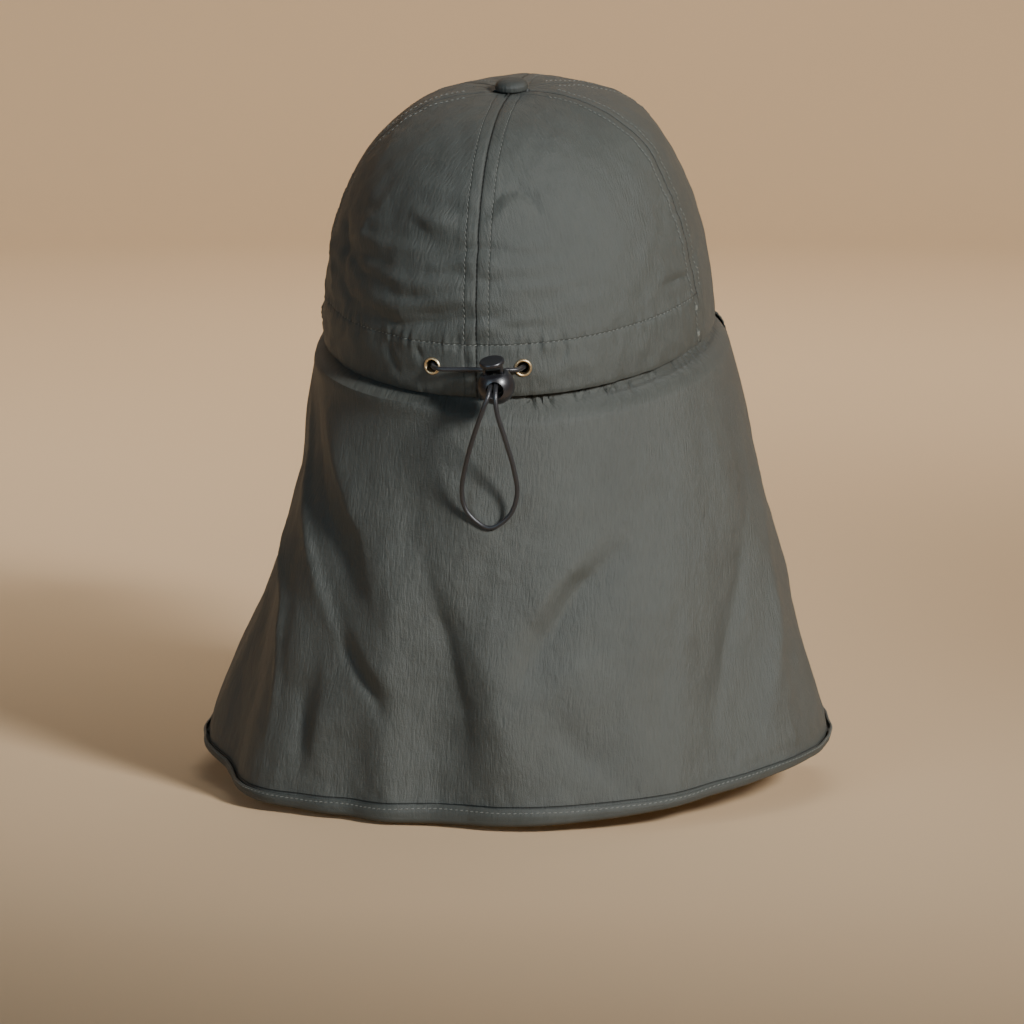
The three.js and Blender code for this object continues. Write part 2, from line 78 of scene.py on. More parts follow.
# %% Lights
def soft_light(name, place, size, power, colour, target=(0, 0, -0.06), beam=None):
    """A round soft lamp, or one that is kept to a beam of so many degrees."""
    light = bpy.data.objects.new(name, bpy.data.lights.new(name, "SPOT" if beam else "AREA"))
    if beam:
        light.data.shadow_soft_size = size / 2
        light.data.spot_size = math.radians(beam)
        light.data.spot_blend = 0.9
    else:
        light.data.shape = "DISK"
        light.data.size = size
    light.data.energy = power
    light.data.color = colour
    light.location = place
    light.rotation_euler = (Vector(target) - place).to_track_quat("-Z", "Y").to_euler()
    bpy.context.collection.objects.link(light)


def from_camera(right, back, up):
    return camera_right * right + towards_camera * back + Vector((0, 0, up))


soft_light("key", from_camera(1.31, 1.6, 0.95), 0.46, 342, (0.98, 0.99, 1.0), beam=28)
soft_light("fill", from_camera(-1.3, 1.8, 0.5), 1.4, 14, (0.56, 0.79, 1.0))
soft_light("top", from_camera(0.6, -0.7, 1.9), 0.8, 2, (1.0, 0.98, 0.95))
soft_light("wall", from_camera(0.1, -1.0, 1.9), 1.4, 78, (1.0, 0.97, 0.93), from_camera(0, -3.4, 0.4))
world = bpy.data.worlds.new("studio")
world.use_nodes = True
world.node_tree.nodes["Background"].inputs["Color"].default_value = (0.78, 0.89, 1.0, 1)
world.node_tree.nodes["Background"].inputs["Strength"].default_value = 0.09
bpy.context.scene.world = world
print("four lamps and the room")

# %% [markdown]
# ## Materials as small expressions
#
# A material here is a chain of nodes. One class makes nodes and another wraps a node's output,
# so that sums and products of outputs can be written as plain expressions.


# %% Node helpers
class Wire:
    """An output of a node. Sums, differences and products of it add Math nodes."""

    def __init__(self, finish, socket):
        self.finish = finish
        self.socket = socket

    def maths(self, operation, first, second=0.0):
        return self.finish.node("ShaderNodeMath", {"operation": operation}, {0: first, 1: second})

    def __add__(self, other):
        return self.maths("ADD", self, other)

    __radd__ = __add__

    def __sub__(self, other):
        return self.maths("SUBTRACT", self, other)

    def __rsub__(self, other):
        return self.maths("SUBTRACT", other, self)

    def __mul__(self, other):
        return self.maths("MULTIPLY", self, other)

    __rmul__ = __mul__

    def __abs__(self):
        return self.maths("ABSOLUTE", self)

    def sine(self):
        return self.maths("SINE", self)

    def step_between(self, low, high):
        settings = {"interpolation_type": "SMOOTHSTEP"}
        return self.finish.node("ShaderNodeMapRange", settings, {0: self, 1: low, 2: high})


class Finish:
    """A material built node by node round one Principled shader."""

    def __init__(self, name, **constants):
        self.material = bpy.data.materials.new(name)
        self.material.use_nodes = True
        self.tree = self.material.node_tree
        self.shader = self.tree.nodes["Principled BSDF"]
        for socket, value in constants.items():
            self.shader.inputs[socket.replace("_", " ")].default_value = value

    def node(self, kind, settings=None, inputs=None, output=0):
        made = self.tree.nodes.new(kind)
        for key, value in (settings or {}).items():
            setattr(made, key, value)
        for key, value in (inputs or {}).items():
            self.feed(made.inputs[key], value)
        return Wire(self, made.outputs[output])

    def feed(self, socket, value):
        if isinstance(value, Wire):
            self.tree.links.new(value.socket, socket)
        else:
            socket.default_value = value

    def set(self, **inputs):
        for name, value in inputs.items():
            self.feed(self.shader.inputs[name.replace("_", " ")], value)

    def mix(self, factor, first, second):
        settings = {"data_type": "RGBA"}
        return self.node("ShaderNodeMix", settings, {0: factor, 6: first, 7: second}, 2)

    def stretched(self, coordinates, scale):
        settings = {"operation": "MULTIPLY"}
        return self.node("ShaderNodeVectorMath", settings, {0: coordinates, 1: scale})

    def noise(self, coordinates, scale=(1, 1, 1), detail=2.0, roughness=0.5):
        inputs = {"Vector": self.stretched(coordinates, scale), "Scale": 1.0,
                  "Detail": detail, "Roughness": roughness}
        return self.node("ShaderNodeTexNoise", None, inputs)

    def pair(self, coordinates):
        parts = self.node("ShaderNodeSeparateXYZ", None, {0: coordinates}).socket.node
        return Wire(self, parts.outputs[0]), Wire(self, parts.outputs[1])

    def bump(self, height, distance, strength=1.0):
        inputs = {"Height": height, "Distance": distance, "Strength": strength}
        return self.node("ShaderNodeBump", None, inputs)


print("node helpers ready")

# %% [markdown]
# ## Crinkled nylon
#
# The shell cloth is a fine plain weave that was crushed, so it carries short upright streaks of
# crinkle. Their furrows are low in the bump, and painted shade darkens the colour along them; the
# slower mottle is the cloth's own uneven tone. Seam lines, stitch rows, the tunnel's top row and
# the tape's lip get painted shade too. The cloth's own length and width, in metres, are its texture
# coordinates: the streaks then follow the cloth round the head, and the threads cross at right angles.


# %% Cloth finish
seam_row = 5.2  # distance of the stitch rows from a seam, in millimetres
stitch_pitch = 2.4  # from one stitch to the next, in millimetres


def cloth_finish(name, colour, dark, crinkle=1.0, thread=0.00042, sewn=0):
    cloth = Finish(name, Sheen_Weight=0.02, Sheen_Roughness=0.5, Specular_IOR_Level=0.45)
    flat = cloth.node("ShaderNodeUVMap", {"uv_map": "cloth"})
    streaks = cloth.noise(flat, (1000, 150, 1), 3.0, 0.6)
    folds = abs(cloth.noise(flat, (560, 100, 1), 3.0, 0.6) - 0.5)
    crumple = cloth.noise(flat, (230, 190, 1), 4.0, 0.65)
    mottle = cloth.noise(flat, (38, 24, 1), 3.0, 0.6)
    turn = 2 * math.pi / thread
    along, up = cloth.pair(flat)
    weave = (along * turn).sine() * (up * turn).sine()
    # Painted shade: where the streaks sink the bump they also darken the colour, as shade in the crinkle's
    # furrows; the mottle is the cloth's own uneven tone
    shade = (streaks - 0.5) * 0.9 + (mottle - 0.5) * 0.6 + weave * 0.12 + 0.5
    height = streaks * 0.3 - folds + crumple * 0.7
    height = height * crinkle + weave * 0.04
    base = cloth.mix(shade.step_between(0.05, 0.95), dark, colour)
    # Painted shade: the seam line with its needle holes, the stitch rows beside it, and one more line (the
    # lip of the hem tape on the flap, the tunnel's top row on the crown) are darkened towards near black as
    # the shade in these grooves; sewn sets how dark that last line is, and the same mask also sinks the bump
    if sewn:
        seam, band = cloth.pair(cloth.node("ShaderNodeUVMap", {"uv_map": "lines"}))
        holes = (up * (2 * math.pi / (stitch_pitch * MM))).sine().step_between(-0.9, 0.1)
        crease = (1 - seam.step_between(0.0001, 0.0005)) * (holes * 0.5 + 0.5)
        row = 1 - abs(seam - seam_row * MM).step_between(0.0001, 0.0006)
        hem = 1 - abs(band).step_between(0.0001, 0.0006)
        sunk_and_painted_shade = crease * 0.95 + row * 0.32 + hem * sewn
        base = cloth.mix(sunk_and_painted_shade, base, (0.008, 0.009, 0.007, 1))
        height = height - sunk_and_painted_shade * 0.5
    cloth.set(
        Base_Color=base,
        Roughness=(streaks - 0.5) * 0.25 + (mottle - 0.5) * 0.12 + 0.56,
        Normal=cloth.bump(height, 0.001, 1.0),
    )
    return cloth.material


shell_cloth = cloth_finish("shell_cloth", (0.066, 0.071, 0.062, 1), (0.044, 0.048, 0.041, 1), 0.6)
flap_finish = cloth_finish(
    "flap_cloth", (0.068, 0.072, 0.062, 1), (0.044, 0.047, 0.04, 1), 0.7, sewn=0.65
)
tape_cloth = cloth_finish(
    "tape_cloth", (0.052, 0.056, 0.048, 1), (0.036, 0.039, 0.033, 1), 0.3, 0.0006
)
crown_finish = cloth_finish(
    "crown_cloth", (0.064, 0.069, 0.06, 1), (0.046, 0.05, 0.043, 1), 0.55, sewn=0.4
)
# Painted shade: the button's cloth is the shell cloth made darker for the shade it sits in, not a different
# cloth
button_cloth_painted_shade = cloth_finish("button_cloth_painted_shade", (0.043, 0.046, 0.04, 1), (0.03, 0.033, 0.028, 1), 0.4)
facing_cloth = cloth_finish("facing_cloth", (0.05, 0.053, 0.046, 1), (0.038, 0.041, 0.035, 1), 0.3)
print("cloth finishes ready")


# %% Thread finish
def thread_finish():
    thread = Finish("sewing_thread", Sheen_Weight=0.2)
    place = thread.node("ShaderNodeTexCoord", None, None, 3)
    twist = thread.noise(place, (2500, 2500, 2500), 2.0, 0.6)
    thread.set(
        Base_Color=thread.mix(twist, (0.075, 0.079, 0.067, 1), (0.18, 0.187, 0.16, 1)),
        Roughness=0.5 + twist * 0.2,
        Normal=thread.bump(twist, 0.0001, 0.6),
    )
    return thread.material


sewing_thread = thread_finish()
print("thread finish ready")

# %% [markdown]
# ## Sizes of the cap
#
# All sizes are in millimetres, in the frame of the solid model: up is +Z, the flap hangs
# towards +Y and the origin is the middle of the head opening. The crown leans back on the head,
# so its rim is lower behind. Turns go round the head from the centre of the back.

# %% Crown sizes
crown_half_width = 84.5
crown_half_length = 101
crown_height = 104.4
crown_lean = math.radians(12)
crown_cloth = 1.2
shoulder_power = 2.95
dome_power = 2.08
panel_flatness = 0.014
side_back_seam = 77
side_front_seam = 127
panel_tip_radius = 2.5
gap = 0.3
no_line = 50  # stands for the distance to a line that a piece doesn't have
seams = np.array([-180, -side_front_seam, -side_back_seam, 0, side_back_seam, side_front_seam, 180])


def leaned(points):
    x, y, z = np.moveaxis(np.asarray(points, float), -1, 0)
    c, s = math.cos(crown_lean), math.sin(crown_lean)
    return np.stack([x, y * c + z * s, z * c - y * s], -1)


def smooth(value, low, high):
    share = np.clip((np.asarray(value, float) - low) / (high - low), 0, 1)
    return share * share * (3 - 2 * share)


def bell(value, middle, width):
    return np.exp(-(((value - middle) / width) ** 2))


def crease(u, v, points, widths, height):
    """A ridge, or a furrow if its height is negative, along a short line; its ends fade out.

    widths are those of its left and its right flank, seen along the line."""
    points = np.asarray(points, float)
    steps = np.linalg.norm(np.diff(points, axis=0), axis=-1)
    starts = np.concatenate([[0], np.cumsum(steps)])
    nearest = np.full(np.shape(u), 1e9)
    width = np.ones(np.shape(u))
    place = np.zeros(np.shape(u))
    for a, b, start, step in zip(points[:-1], points[1:], starts, steps):
        share = ((u - a[0]) * (b[0] - a[0]) + (v - a[1]) * (b[1] - a[1])) / step**2
        share = np.clip(share, 0, 1)
        off = np.hypot(u - a[0] - share * (b[0] - a[0]), v - a[1] - share * (b[1] - a[1]))
        side = (b[0] - a[0]) * (v - a[1]) - (b[1] - a[1]) * (u - a[0])
        closer = off < nearest
        place = np.where(closer, (start + share * step) / starts[-1], place)
        width = np.where(closer, np.where(side < 0, widths[0], widths[1]), width)
        nearest = np.where(closer, off, nearest)
    fade = np.sin(np.pi * np.clip(place, 0.02, 0.98)) ** 0.7
    return height * np.exp(-((nearest / width) ** 1.6)) * fade


def dome_share(rise):
    across, up = np.cos(rise), np.abs(np.sin(rise))
    reach = np.ones_like(across)
    for _ in range(12):
        side = (reach * across) ** shoulder_power
        top = (reach * up) ** dome_power
        reach = reach - (side + top - 1) * reach / (shoulder_power * side + dome_power * top)
    return reach * across, reach * np.sin(rise)


def crown_skin(turn, rise):
    turn, rise = np.broadcast_arrays(np.asarray(turn, float), np.asarray(rise, float))
    across, up = dome_share(rise)
    k = np.clip(np.searchsorted(seams, turn, side="right") - 1, 0, len(seams) - 2)
    share = (turn - seams[k]) / (seams[k + 1] - seams[k])
    reach = across * (1 - panel_flatness * np.sin(np.pi * share) ** 2 * np.sin(rise))
    t = np.radians(turn)
    return np.stack([crown_half_width * reach * np.sin(t),
                     crown_half_length * reach * np.cos(t), crown_height * up], -1)


def rise_at(height):
    table = np.linspace(0, math.pi / 2, 2001)
    return np.interp(height, dome_share(table)[1] * crown_height, table)


print("rise of the tunnel's top", round(math.degrees(rise_at(22.0)), 1), "degrees")

# %% [markdown]
# ## Cloth from grids
#
# Each cloth piece is a grid of points on its outer face, its rows running up and its columns
# from left to right as seen from outside. A second layer inside gives the real thickness. The
# lengths along rows and columns become its texture coordinates, so the weave has one scale.


# %% Grid helpers
def normals_of(grid):
    along = np.gradient(grid, axis=1)
    up = np.gradient(grid, axis=0)
    found = np.cross(along, up)
    return found / np.maximum(np.linalg.norm(found, axis=-1, keepdims=True), 1e-9)


def lengths_of(grid):
    middle = grid.shape[1] // 2
    across = np.linalg.norm(np.diff(grid, axis=1), axis=-1)
    u = np.concatenate([np.zeros((len(grid), 1)), np.cumsum(across, axis=1)], 1)
    u -= u[:, middle : middle + 1]
    upwards = np.linalg.norm(np.diff(grid[:, middle], axis=0), axis=-1)
    v = np.concatenate([[0], np.cumsum(upwards)])
    return u, np.broadcast_to(v[:, None], u.shape)


def mesh_piece(name, points, faces, material, body="cap", uv=None, sharp=40, lines=None):
    mesh = bpy.data.meshes.new(name)
    faces = faces.tolist() if isinstance(faces, np.ndarray) else faces
    mesh.from_pydata((np.asarray(points) * MM).tolist(), [], faces)
    mesh.materials.append(material)
    for layer_name, places in (("cloth", uv), ("lines", lines)):
        if places is not None:
            layer = mesh.uv_layers.new(name=layer_name)
            corners = np.empty(len(mesh.loops), np.int32)
            mesh.loops.foreach_get("vertex_index", corners)
            layer.data.foreach_set("uv", (np.asarray(places)[corners] * MM).astype(np.float32).ravel())
    mesh.polygons.foreach_set("use_smooth", [True] * len(mesh.polygons))
    mesh.set_sharp_from_angle(angle=math.radians(sharp))
    piece = bpy.data.objects.new(name, mesh)
    bpy.context.collection.objects.link(piece)
    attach(piece, body)
    return piece


def quads(rows, columns, start=0, flip=False):
    i, j = np.meshgrid(np.arange(rows - 1), np.arange(columns - 1), indexing="ij")
    a = (start + i * columns + j).ravel()
    found = np.stack([a, a + 1, a + columns + 1, a + columns], -1)
    return found[:, ::-1] if flip else found


def tube_quads(rings, around, flip=False):
    """Faces between rings of points that lie one after another."""
    i, k = np.meshgrid(np.arange(rings - 1), np.arange(around), indexing="ij")
    a, b = (i * around + k).ravel(), (i * around + (k + 1) % around).ravel()
    corners = (a, a + around, b + around, b) if flip else (a, b, b + around, a + around)
    return np.stack(corners, -1).tolist()


def cloth_piece(name, outer, thickness, material, body="cap", lines=None):
    rows, columns, _ = outer.shape
    inner = outer - normals_of(outer) * thickness
    total = rows * columns
    row = np.arange(rows - 1) * columns
    col = np.arange(columns - 1)
    last = (rows - 1) * columns
    ends = [
        np.stack([row, row + columns, row + columns + total, row + total], -1),
        np.stack([row, row + total, row + columns + total, row + columns], -1) + columns - 1,
        np.stack([col + total, col + 1 + total, col + 1, col], -1),
        np.stack([col, col + 1, col + 1 + total, col + total], -1) + last,
    ]
    faces = np.concatenate([quads(rows, columns), quads(rows, columns, total, True), *ends])
    u, v = lengths_of(outer)
    uv = np.tile(np.stack([u, v], -1).reshape(-1, 2), (2, 1))
    points = np.concatenate([outer.reshape(-1, 3), inner.reshape(-1, 3)])
    if lines is not None:
        lines = np.tile(lines.reshape(-1, 2), (2, 1))
    return mesh_piece(name, points, faces, material, body, uv, lines=lines)


def cut_of(grid):
    u, v = lengths_of(grid)
    width = float((u[:, -1] - u[:, 0]).max()) * MM
    length = float(v.max()) * MM
    a, b, c, d = grid[:-1, :-1], grid[:-1, 1:], grid[1:, 1:], grid[1:, :-1]
    area = 0.5 * np.linalg.norm(np.cross(c - a, d - b), axis=-1).sum() * MM * MM
    return width, length, float(area)


print("grid helpers ready")


# %% [markdown]
# ## Small unevenness
#
# Real cloth is never even. Two kinds are used: a slow roll of the whole cloth, and short puckers
# where a row of stitches has drawn it in. Both come from seeded noise, so each run is the same.


# %% Noise over the cloth
def rough(points, scale, seed=0.0):
    """Soft noise from -1 to 1 whose hills are about scale millimetres apart."""
    flat = (np.asarray(points).reshape(-1, 3) / scale + seed).tolist()
    values = np.fromiter((noise.noise(p) for p in flat), float, len(flat))
    return values.reshape(np.asarray(points).shape[:-1])


def rough_2d(u, v, seed=0.0):
    u, v = np.broadcast_arrays(u, v)
    return rough(np.stack([u, v, np.zeros_like(u)], -1), 1.0, seed)


print("noise sample", round(float(rough(np.zeros((1, 3)) + 0.37, 1.0)[0]), 3))

# %% [markdown]
# ## Crown panels
#
# The six panels are sewn edge to edge, the seam allowances pressed apart and held down by a row
# of stitches on each side, so every seam is a narrow valley between two slightly raised bands.
# Along the back the cord's tunnel is another raised band, closed by a row of stitches above it
# and by an upright row with two bar tacks at each end.
# The rows pull the cloth into small puckers. All this is relief in the panels' own meshes.

# %% Relief of the crown
channel_height = 22
turn_length = 1.55  # millimetres of the crown's wall to a degree of turn

# Soft creases of the worn crown: points as turn and height, widths of the flanks, height of the ridge
crown_creases = [
    ([(-2, 75), (-8, 80.5), (-14, 81.5), (-19, 78), (-22, 71)], (3.2, 2.4), -1.7),
    ([(-4, 71), (-10, 75.5), (-15, 74.5), (-18, 70)], (3, 4), 1.3),
    ([(28, 72.5), (19, 69.5), (7, 70)], (3, 4), 1.7), ([(27, 68), (17, 65), (6, 65.5)], (3, 3), -1.5),
    ([(19, 57), (9, 58), (0, 60.5), (-8, 60), (-17, 57)], (2.2, 3), -1.5),
    ([(18, 53), (8, 54.5), (1, 56)], (2, 3), 1.2), ([(20, 49), (10, 50), (2, 52)], (2, 2), -0.9),
    ([(27, 36), (14, 38.5), (3, 42)], (2.6, 3), 1.5), ([(25, 32.5), (13, 34), (3, 37)], (2.2, 3), -1.5),
    ([(37, 29), (24, 27.5), (12, 31), (3, 33)], (2, 3), -1.3), ([(41, 42), (30, 39), (20, 42)], (3, 4), 1.2),
    ([(53, 48), (42, 43), (34, 47)], (3, 3), -1.4), ([(57, 37), (48, 31), (40, 33)], (2.6, 3), -1.5),
    ([(-60, 33.5), (-69, 32.5), (-77, 30)], (1.6, 2), -1.4), ([(-4, 31), (-12, 29), (-20, 30)], (2, 3), -0.9),
    ([(64, 62), (57, 50), (53, 37)], (4, 4), -1.6), ([(72, 48), (64, 38), (60, 27)], (3, 4), 1.3),
    ([(45, 21), (52, 12), (60, 6)], (3, 3), -1.4), ([(38, 74), (46, 64), (50, 54)], (4, 5), 1.0),
    ([(30, 20), (27, 12), (24, 6)], (1.8, 2), -1.0), ([(19, 21), (17.5, 17), (16.5, 14)], (1.5, 1.5), -1.0),
    ([(-26, 21), (-25, 16), (-23, 12)], (1.5, 1.5), -0.7), ([(4, 21), (3, 15), (3, 9)], (1.4, 1.4), -0.7),
]


def seam_distance(points):
    """Distance of points of the crown from the upright planes of its seams, for each seam."""
    t = np.radians(seams[:-1])
    plane = np.stack([crown_half_length * np.cos(t), -crown_half_width * np.sin(t)], -1)
    plane /= np.linalg.norm(plane, axis=-1, keepdims=True)
    ahead = np.stack([np.sin(t), np.cos(t)], -1)
    off = np.abs(points[..., None, 0] * plane[:, 0] + points[..., None, 1] * plane[:, 1])
    facing = points[..., None, 0] * ahead[:, 0] + points[..., None, 1] * ahead[:, 1]
    return np.where(facing > -4, off, 99.0)


def crown_relief(turn, points):
    near = seam_distance(points).min(-1)
    height = points[..., 2]
    behind = smooth(side_back_seam - np.abs(turn), -0.8, 0.8)
    upright = 1 - smooth(height, 86, 100)
    pull = rough_2d(height / 6.5, turn * 0.05 + 7.0) * 1.3 + rough_2d(height / 3.1, turn * 0.04) * 0.8
    relief = -0.12 * bell(near, 0, 0.8) - 0.14 * bell(near, seam_row, 0.8)
    relief += 0.12 * smooth(near, 0.2, 1.6) * (1 - smooth(near, seam_row - 0.6, seam_row + 2.2))
    relief += upright * bell(near, seam_row * 0.7, 4.6) * pull * 0.7
    ripple = rough_2d(turn / 3.4, height / 30) * 1.1 + rough_2d(turn / 1.7, height / 24, 3.0) * 0.9
    puff = np.sin(np.pi * np.clip(height / channel_height, 0, 1)) ** 0.7
    relief += behind * (
        0.7 * puff - 0.22 * bell(height, channel_height, 0.8) - 0.45 * (1 - smooth(height, 0, 1.7))
        + ripple * (0.95 * bell(height, channel_height, 3.6) + 0.3 * bell(height, 0, 5))
    )
    across = turn * turn_length
    for points_of, widths, rise_of in crown_creases:
        line = [(place * turn_length, up) for place, up in points_of]
        relief += crease(across, height, line, widths, rise_of)
    slack = rough_2d(turn / 22.0, height / 6.0, 17.0) * bell(turn, 22, 44) * bell(height, 46, 27)
    relief += slack * 2.0 + 0.8 * rough(points, 30.0, 4.0) + 0.45 * rough(points, 8.0, 9.0)
    relief += 2.6 * bell(turn, -98, 34) * bell(height, 88, 14)
    return relief


def crown_point(turn, rise):
    """Points of the finished cloth's outer face, and its direction, in the crown's frame."""
    bare = crown_skin(turn, rise)
    e = 1e-3
    degrees = e * 57  # about the same step, for a turn
    along = crown_skin(turn - degrees, rise) - crown_skin(turn + degrees, rise)
    up = crown_skin(turn, rise + e) - crown_skin(turn, np.maximum(rise - e, 0))
    out = np.cross(along, up)
    out /= np.linalg.norm(out, axis=-1, keepdims=True)
    turn = np.broadcast_to(np.asarray(turn, float), bare.shape[:-1])
    return bare + out * crown_relief(turn, bare)[..., None], out


print("relief ready")


# %% Panels
def spaced(start, end, count, fine):
    """Values from start to end that lie closer near both ends."""
    s = np.linspace(-1, 1, count)
    eased = s * (1 - fine) + fine * np.sin(s * math.pi / 2)
    return start + (end - start) * (eased + 1) / 2


def crown_panel(name, node, from_turn, to_turn, columns, rows):
    tip = math.acos(panel_tip_radius / crown_half_width)
    rise = np.linspace(0, tip, rows)[:, None]
    turn = spaced(from_turn, to_turn, columns, 0.35)[None, :]
    outer, _ = crown_point(turn, rise)
    for column, seam in ((0, from_turn), (-1, to_turn)):
        t = math.radians(seam)
        side = np.array([crown_half_length * math.cos(t), -crown_half_width * math.sin(t), 0])
        side *= 0.05 / np.linalg.norm(side)
        outer[:, column] += side if column else -side
    bare = crown_skin(turn, rise)
    over_band = bare[..., 2] - channel_height if "back" in node else no_line + 0 * bare[..., 2]
    lines = np.stack([seam_distance(bare).min(-1), over_band], -1)
    panel = cloth_piece(name, leaned(outer), crown_cloth, crown_finish, lines=lines)
    width, length, area = cut_of(outer)
    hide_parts(node)
    print(name, f"{width * 1000:.0f} x {length * 1000:.0f} mm, {area * 1e4:.0f} cm2")


crown_panel("panel_back_left", "back_left", side_back_seam, 0, 180, 150)
crown_panel("panel_back_right", "back_right", 0, -side_back_seam, 180, 150)
crown_panel("panel_side_left", "side_left", side_front_seam, side_back_seam, 84, 130)
crown_panel("panel_side_right", "side_right", -side_back_seam, -side_front_seam, 84, 130)
crown_panel("panel_front_left", "front_left", 180, side_front_seam, 76, 120)
crown_panel("panel_front_right", "front_right", -side_front_seam, -180, 76, 120)

# %% Seam tapes
def seam_tape(word, seam):
    """The strip that covers the raw edges inside, and keeps light out of the seam."""
    rise = np.linspace(rise_at(1.0), math.acos(panel_tip_radius / crown_half_width) - 0.06, 70)[:, None]
    reach = np.linalg.norm(crown_skin(seam, rise)[..., :2], axis=-1)
    turn = seam - np.linspace(-6, 6, 9)[None, :] * np.degrees(1 / np.maximum(reach, 6))
    skin = crown_skin(turn, rise)
    grid = leaned(skin - normals_of(skin) * (crown_cloth + 0.45))
    tape = cloth_piece(f"seam_tape_{word}", grid, 0.15, facing_cloth)
    width, length, area = cut_of(grid)
    print("seam tape", word, f"{width * 1000:.0f} x {length * 1000:.0f} mm")


for word, seam in (("back", 0), ("left", side_back_seam), ("right", -side_back_seam),
                   ("front_left", side_front_seam), ("front_right", -side_front_seam)):
    seam_tape(word, seam)

# %% [markdown]
# ## Neck flap
#
# The flap is one wide piece cut as part of a ring. It comes out from under the rim, rolls down
# and hangs in long soft folds that widen towards the hem. Each fold is a smooth ridge or valley
# that runs between two shares of the fall and wanders round the head; the big ones are the same
# as in the solid model, and the narrow ones are added here.

# %% Flap sizes and folds
flap_cloth = 1
flap_tuck = 5
flap_roll_left, flap_roll_right = 5, 13
flap_front = 118
hem_half_width = 136
hem_half_length = 123.5
hem_fall_side = 181
hem_fall_back = 16
hem_sweep_power = 1.3
hem_low_turn = 12
hem_swing = 2
hem_corner_turn = 10
hem_corner_share = 0.12
fold_height = 10
flap_inset = crown_cloth + 2 * gap + 0.9 + 2 * gap + flap_cloth / 2

# start, end (shares of the fall), turn at the start, turn at the end, half width, height
broad_folds = [
    (-0.1, 0.4, -96, -100, 48, 0.15), (0.02, 0.96, 88, 84, 44, -0.95),
    (0.04, 0.45, 70, 60, 16, -0.45), (0.45, 1.3, 106, 98, 20, 0.5), (0.38, 1.3, 68, 58, 17, -0.5),
    (0.1, 0.9, 76, 31, 14, 0.3), (0.55, 1.4, 46, 40, 15, 0.5), (0.45, 1.4, 10, 2, 14, -0.6),
    (0.45, 1.4, -12, -18, 15, 0.35), (0.36, 1.2, -72, -48, 17, -0.5), (0.36, 1.4, -88, -72, 18, 0.12),
]
narrow_folds = [
    (0.3, 1.2, -38, -33, 17, 0.3), (0.62, 1.3, 28, 16, 9, -0.3),
]

# Sharp creases of the hanging cloth: points as turn and share of the fall, flanks, height
turn_run = 2.0  # millimetres of the flap to a degree of turn, half way down
fall_run = 190  # millimetres of the whole fall
flap_creases = [
    ([(75, 0.15), (57, 0.29), (46, 0.4), (39.5, 0.49), (31.5, 0.6), (27, 0.66)], (9, 3), 3.2),
    ([(64, 0.13), (49, 0.27), (37, 0.39), (29, 0.48), (24, 0.55)], (6, 8), -3.0),
    ([(54, 0.11), (40, 0.235), (28.5, 0.36), (20, 0.54)], (4.5, 15), 2.6),
    ([(31, 0.6), (26, 0.655), (19, 0.735), (16, 0.8)], (3, 5), -2.4),
    ([(28, 0.57), (21, 0.65), (15, 0.72)], (4, 9), 1.8),
    ([(12, 0.4), (8, 0.5), (4, 0.62), (1, 0.74), (-1, 0.92)], (12, 4.5), -3.4),
    ([(18, 0.42), (16.5, 0.64), (15, 0.84)], (8, 8), 1.6),
    ([(3, 0.48), (-2, 0.6), (-6, 0.74), (-8, 0.88)], (5, 12), 1.5),
    ([(-38, 0.385), (-24.5, 0.48), (-16, 0.59), (-9, 0.71)], (6, 9), -4.2),
    ([(-31, 0.36), (-18, 0.47), (-10, 0.58)], (9, 5), 1.8), ([(-22, 0.62), (-25, 0.8)], (12, 12), 2.0),
    ([(33, 0.64), (31, 0.75), (31, 0.9)], (4.5, 9), 2.2),
    ([(38, 0.72), (35, 0.84), (34, 0.95)], (4, 5), -2.2),
    ([(62, 0.42), (49, 0.57), (45, 0.74), (43, 0.88)], (3, 3), 2.2),
    ([(-77, 0.42), (-69, 0.57), (-61, 0.69), (-49.5, 0.89)], (9, 5), -2.6),
    ([(-84, 0.54), (-77, 0.7), (-68, 0.86), (-63, 0.96)], (6, 7), 2.0),
    ([(-44, 0.62), (-39, 0.76), (-37, 0.9)], (7, 6), -1.2),
    ([(79, 0.062), (62, 0.058), (46, 0.054), (30, 0.052), (10, 0.055)], (6, 4), 3.0),
    ([(-13, 0.72), (-21, 0.85), (-30, 0.95)], (5, 8), -1.8),
]


def hem_point(turn):
    t = np.radians(turn)
    low = np.cos(t - math.radians(hem_low_turn))
    extra = np.sign(low) * np.abs(low) ** hem_sweep_power
    return np.stack([hem_swing + hem_half_width * np.sin(t), hem_half_length * np.cos(t),
                     -(hem_fall_side + hem_fall_back * extra)], -1)


def fold_at(turn, fall, folds):
    total = np.zeros(np.broadcast(turn, fall).shape)
    for start, end, turn_top, turn_end, width, height in folds:
        along = np.clip((fall - start) / (end - start), 0, 1)
        middle = turn_top + (turn_end - turn_top) * along
        off = np.minimum(1, np.abs(turn - middle) / width)
        total = total + fold_height * height * np.sin(np.pi * along) ** 2 * (1 + np.cos(np.pi * off)) / 2
    return total


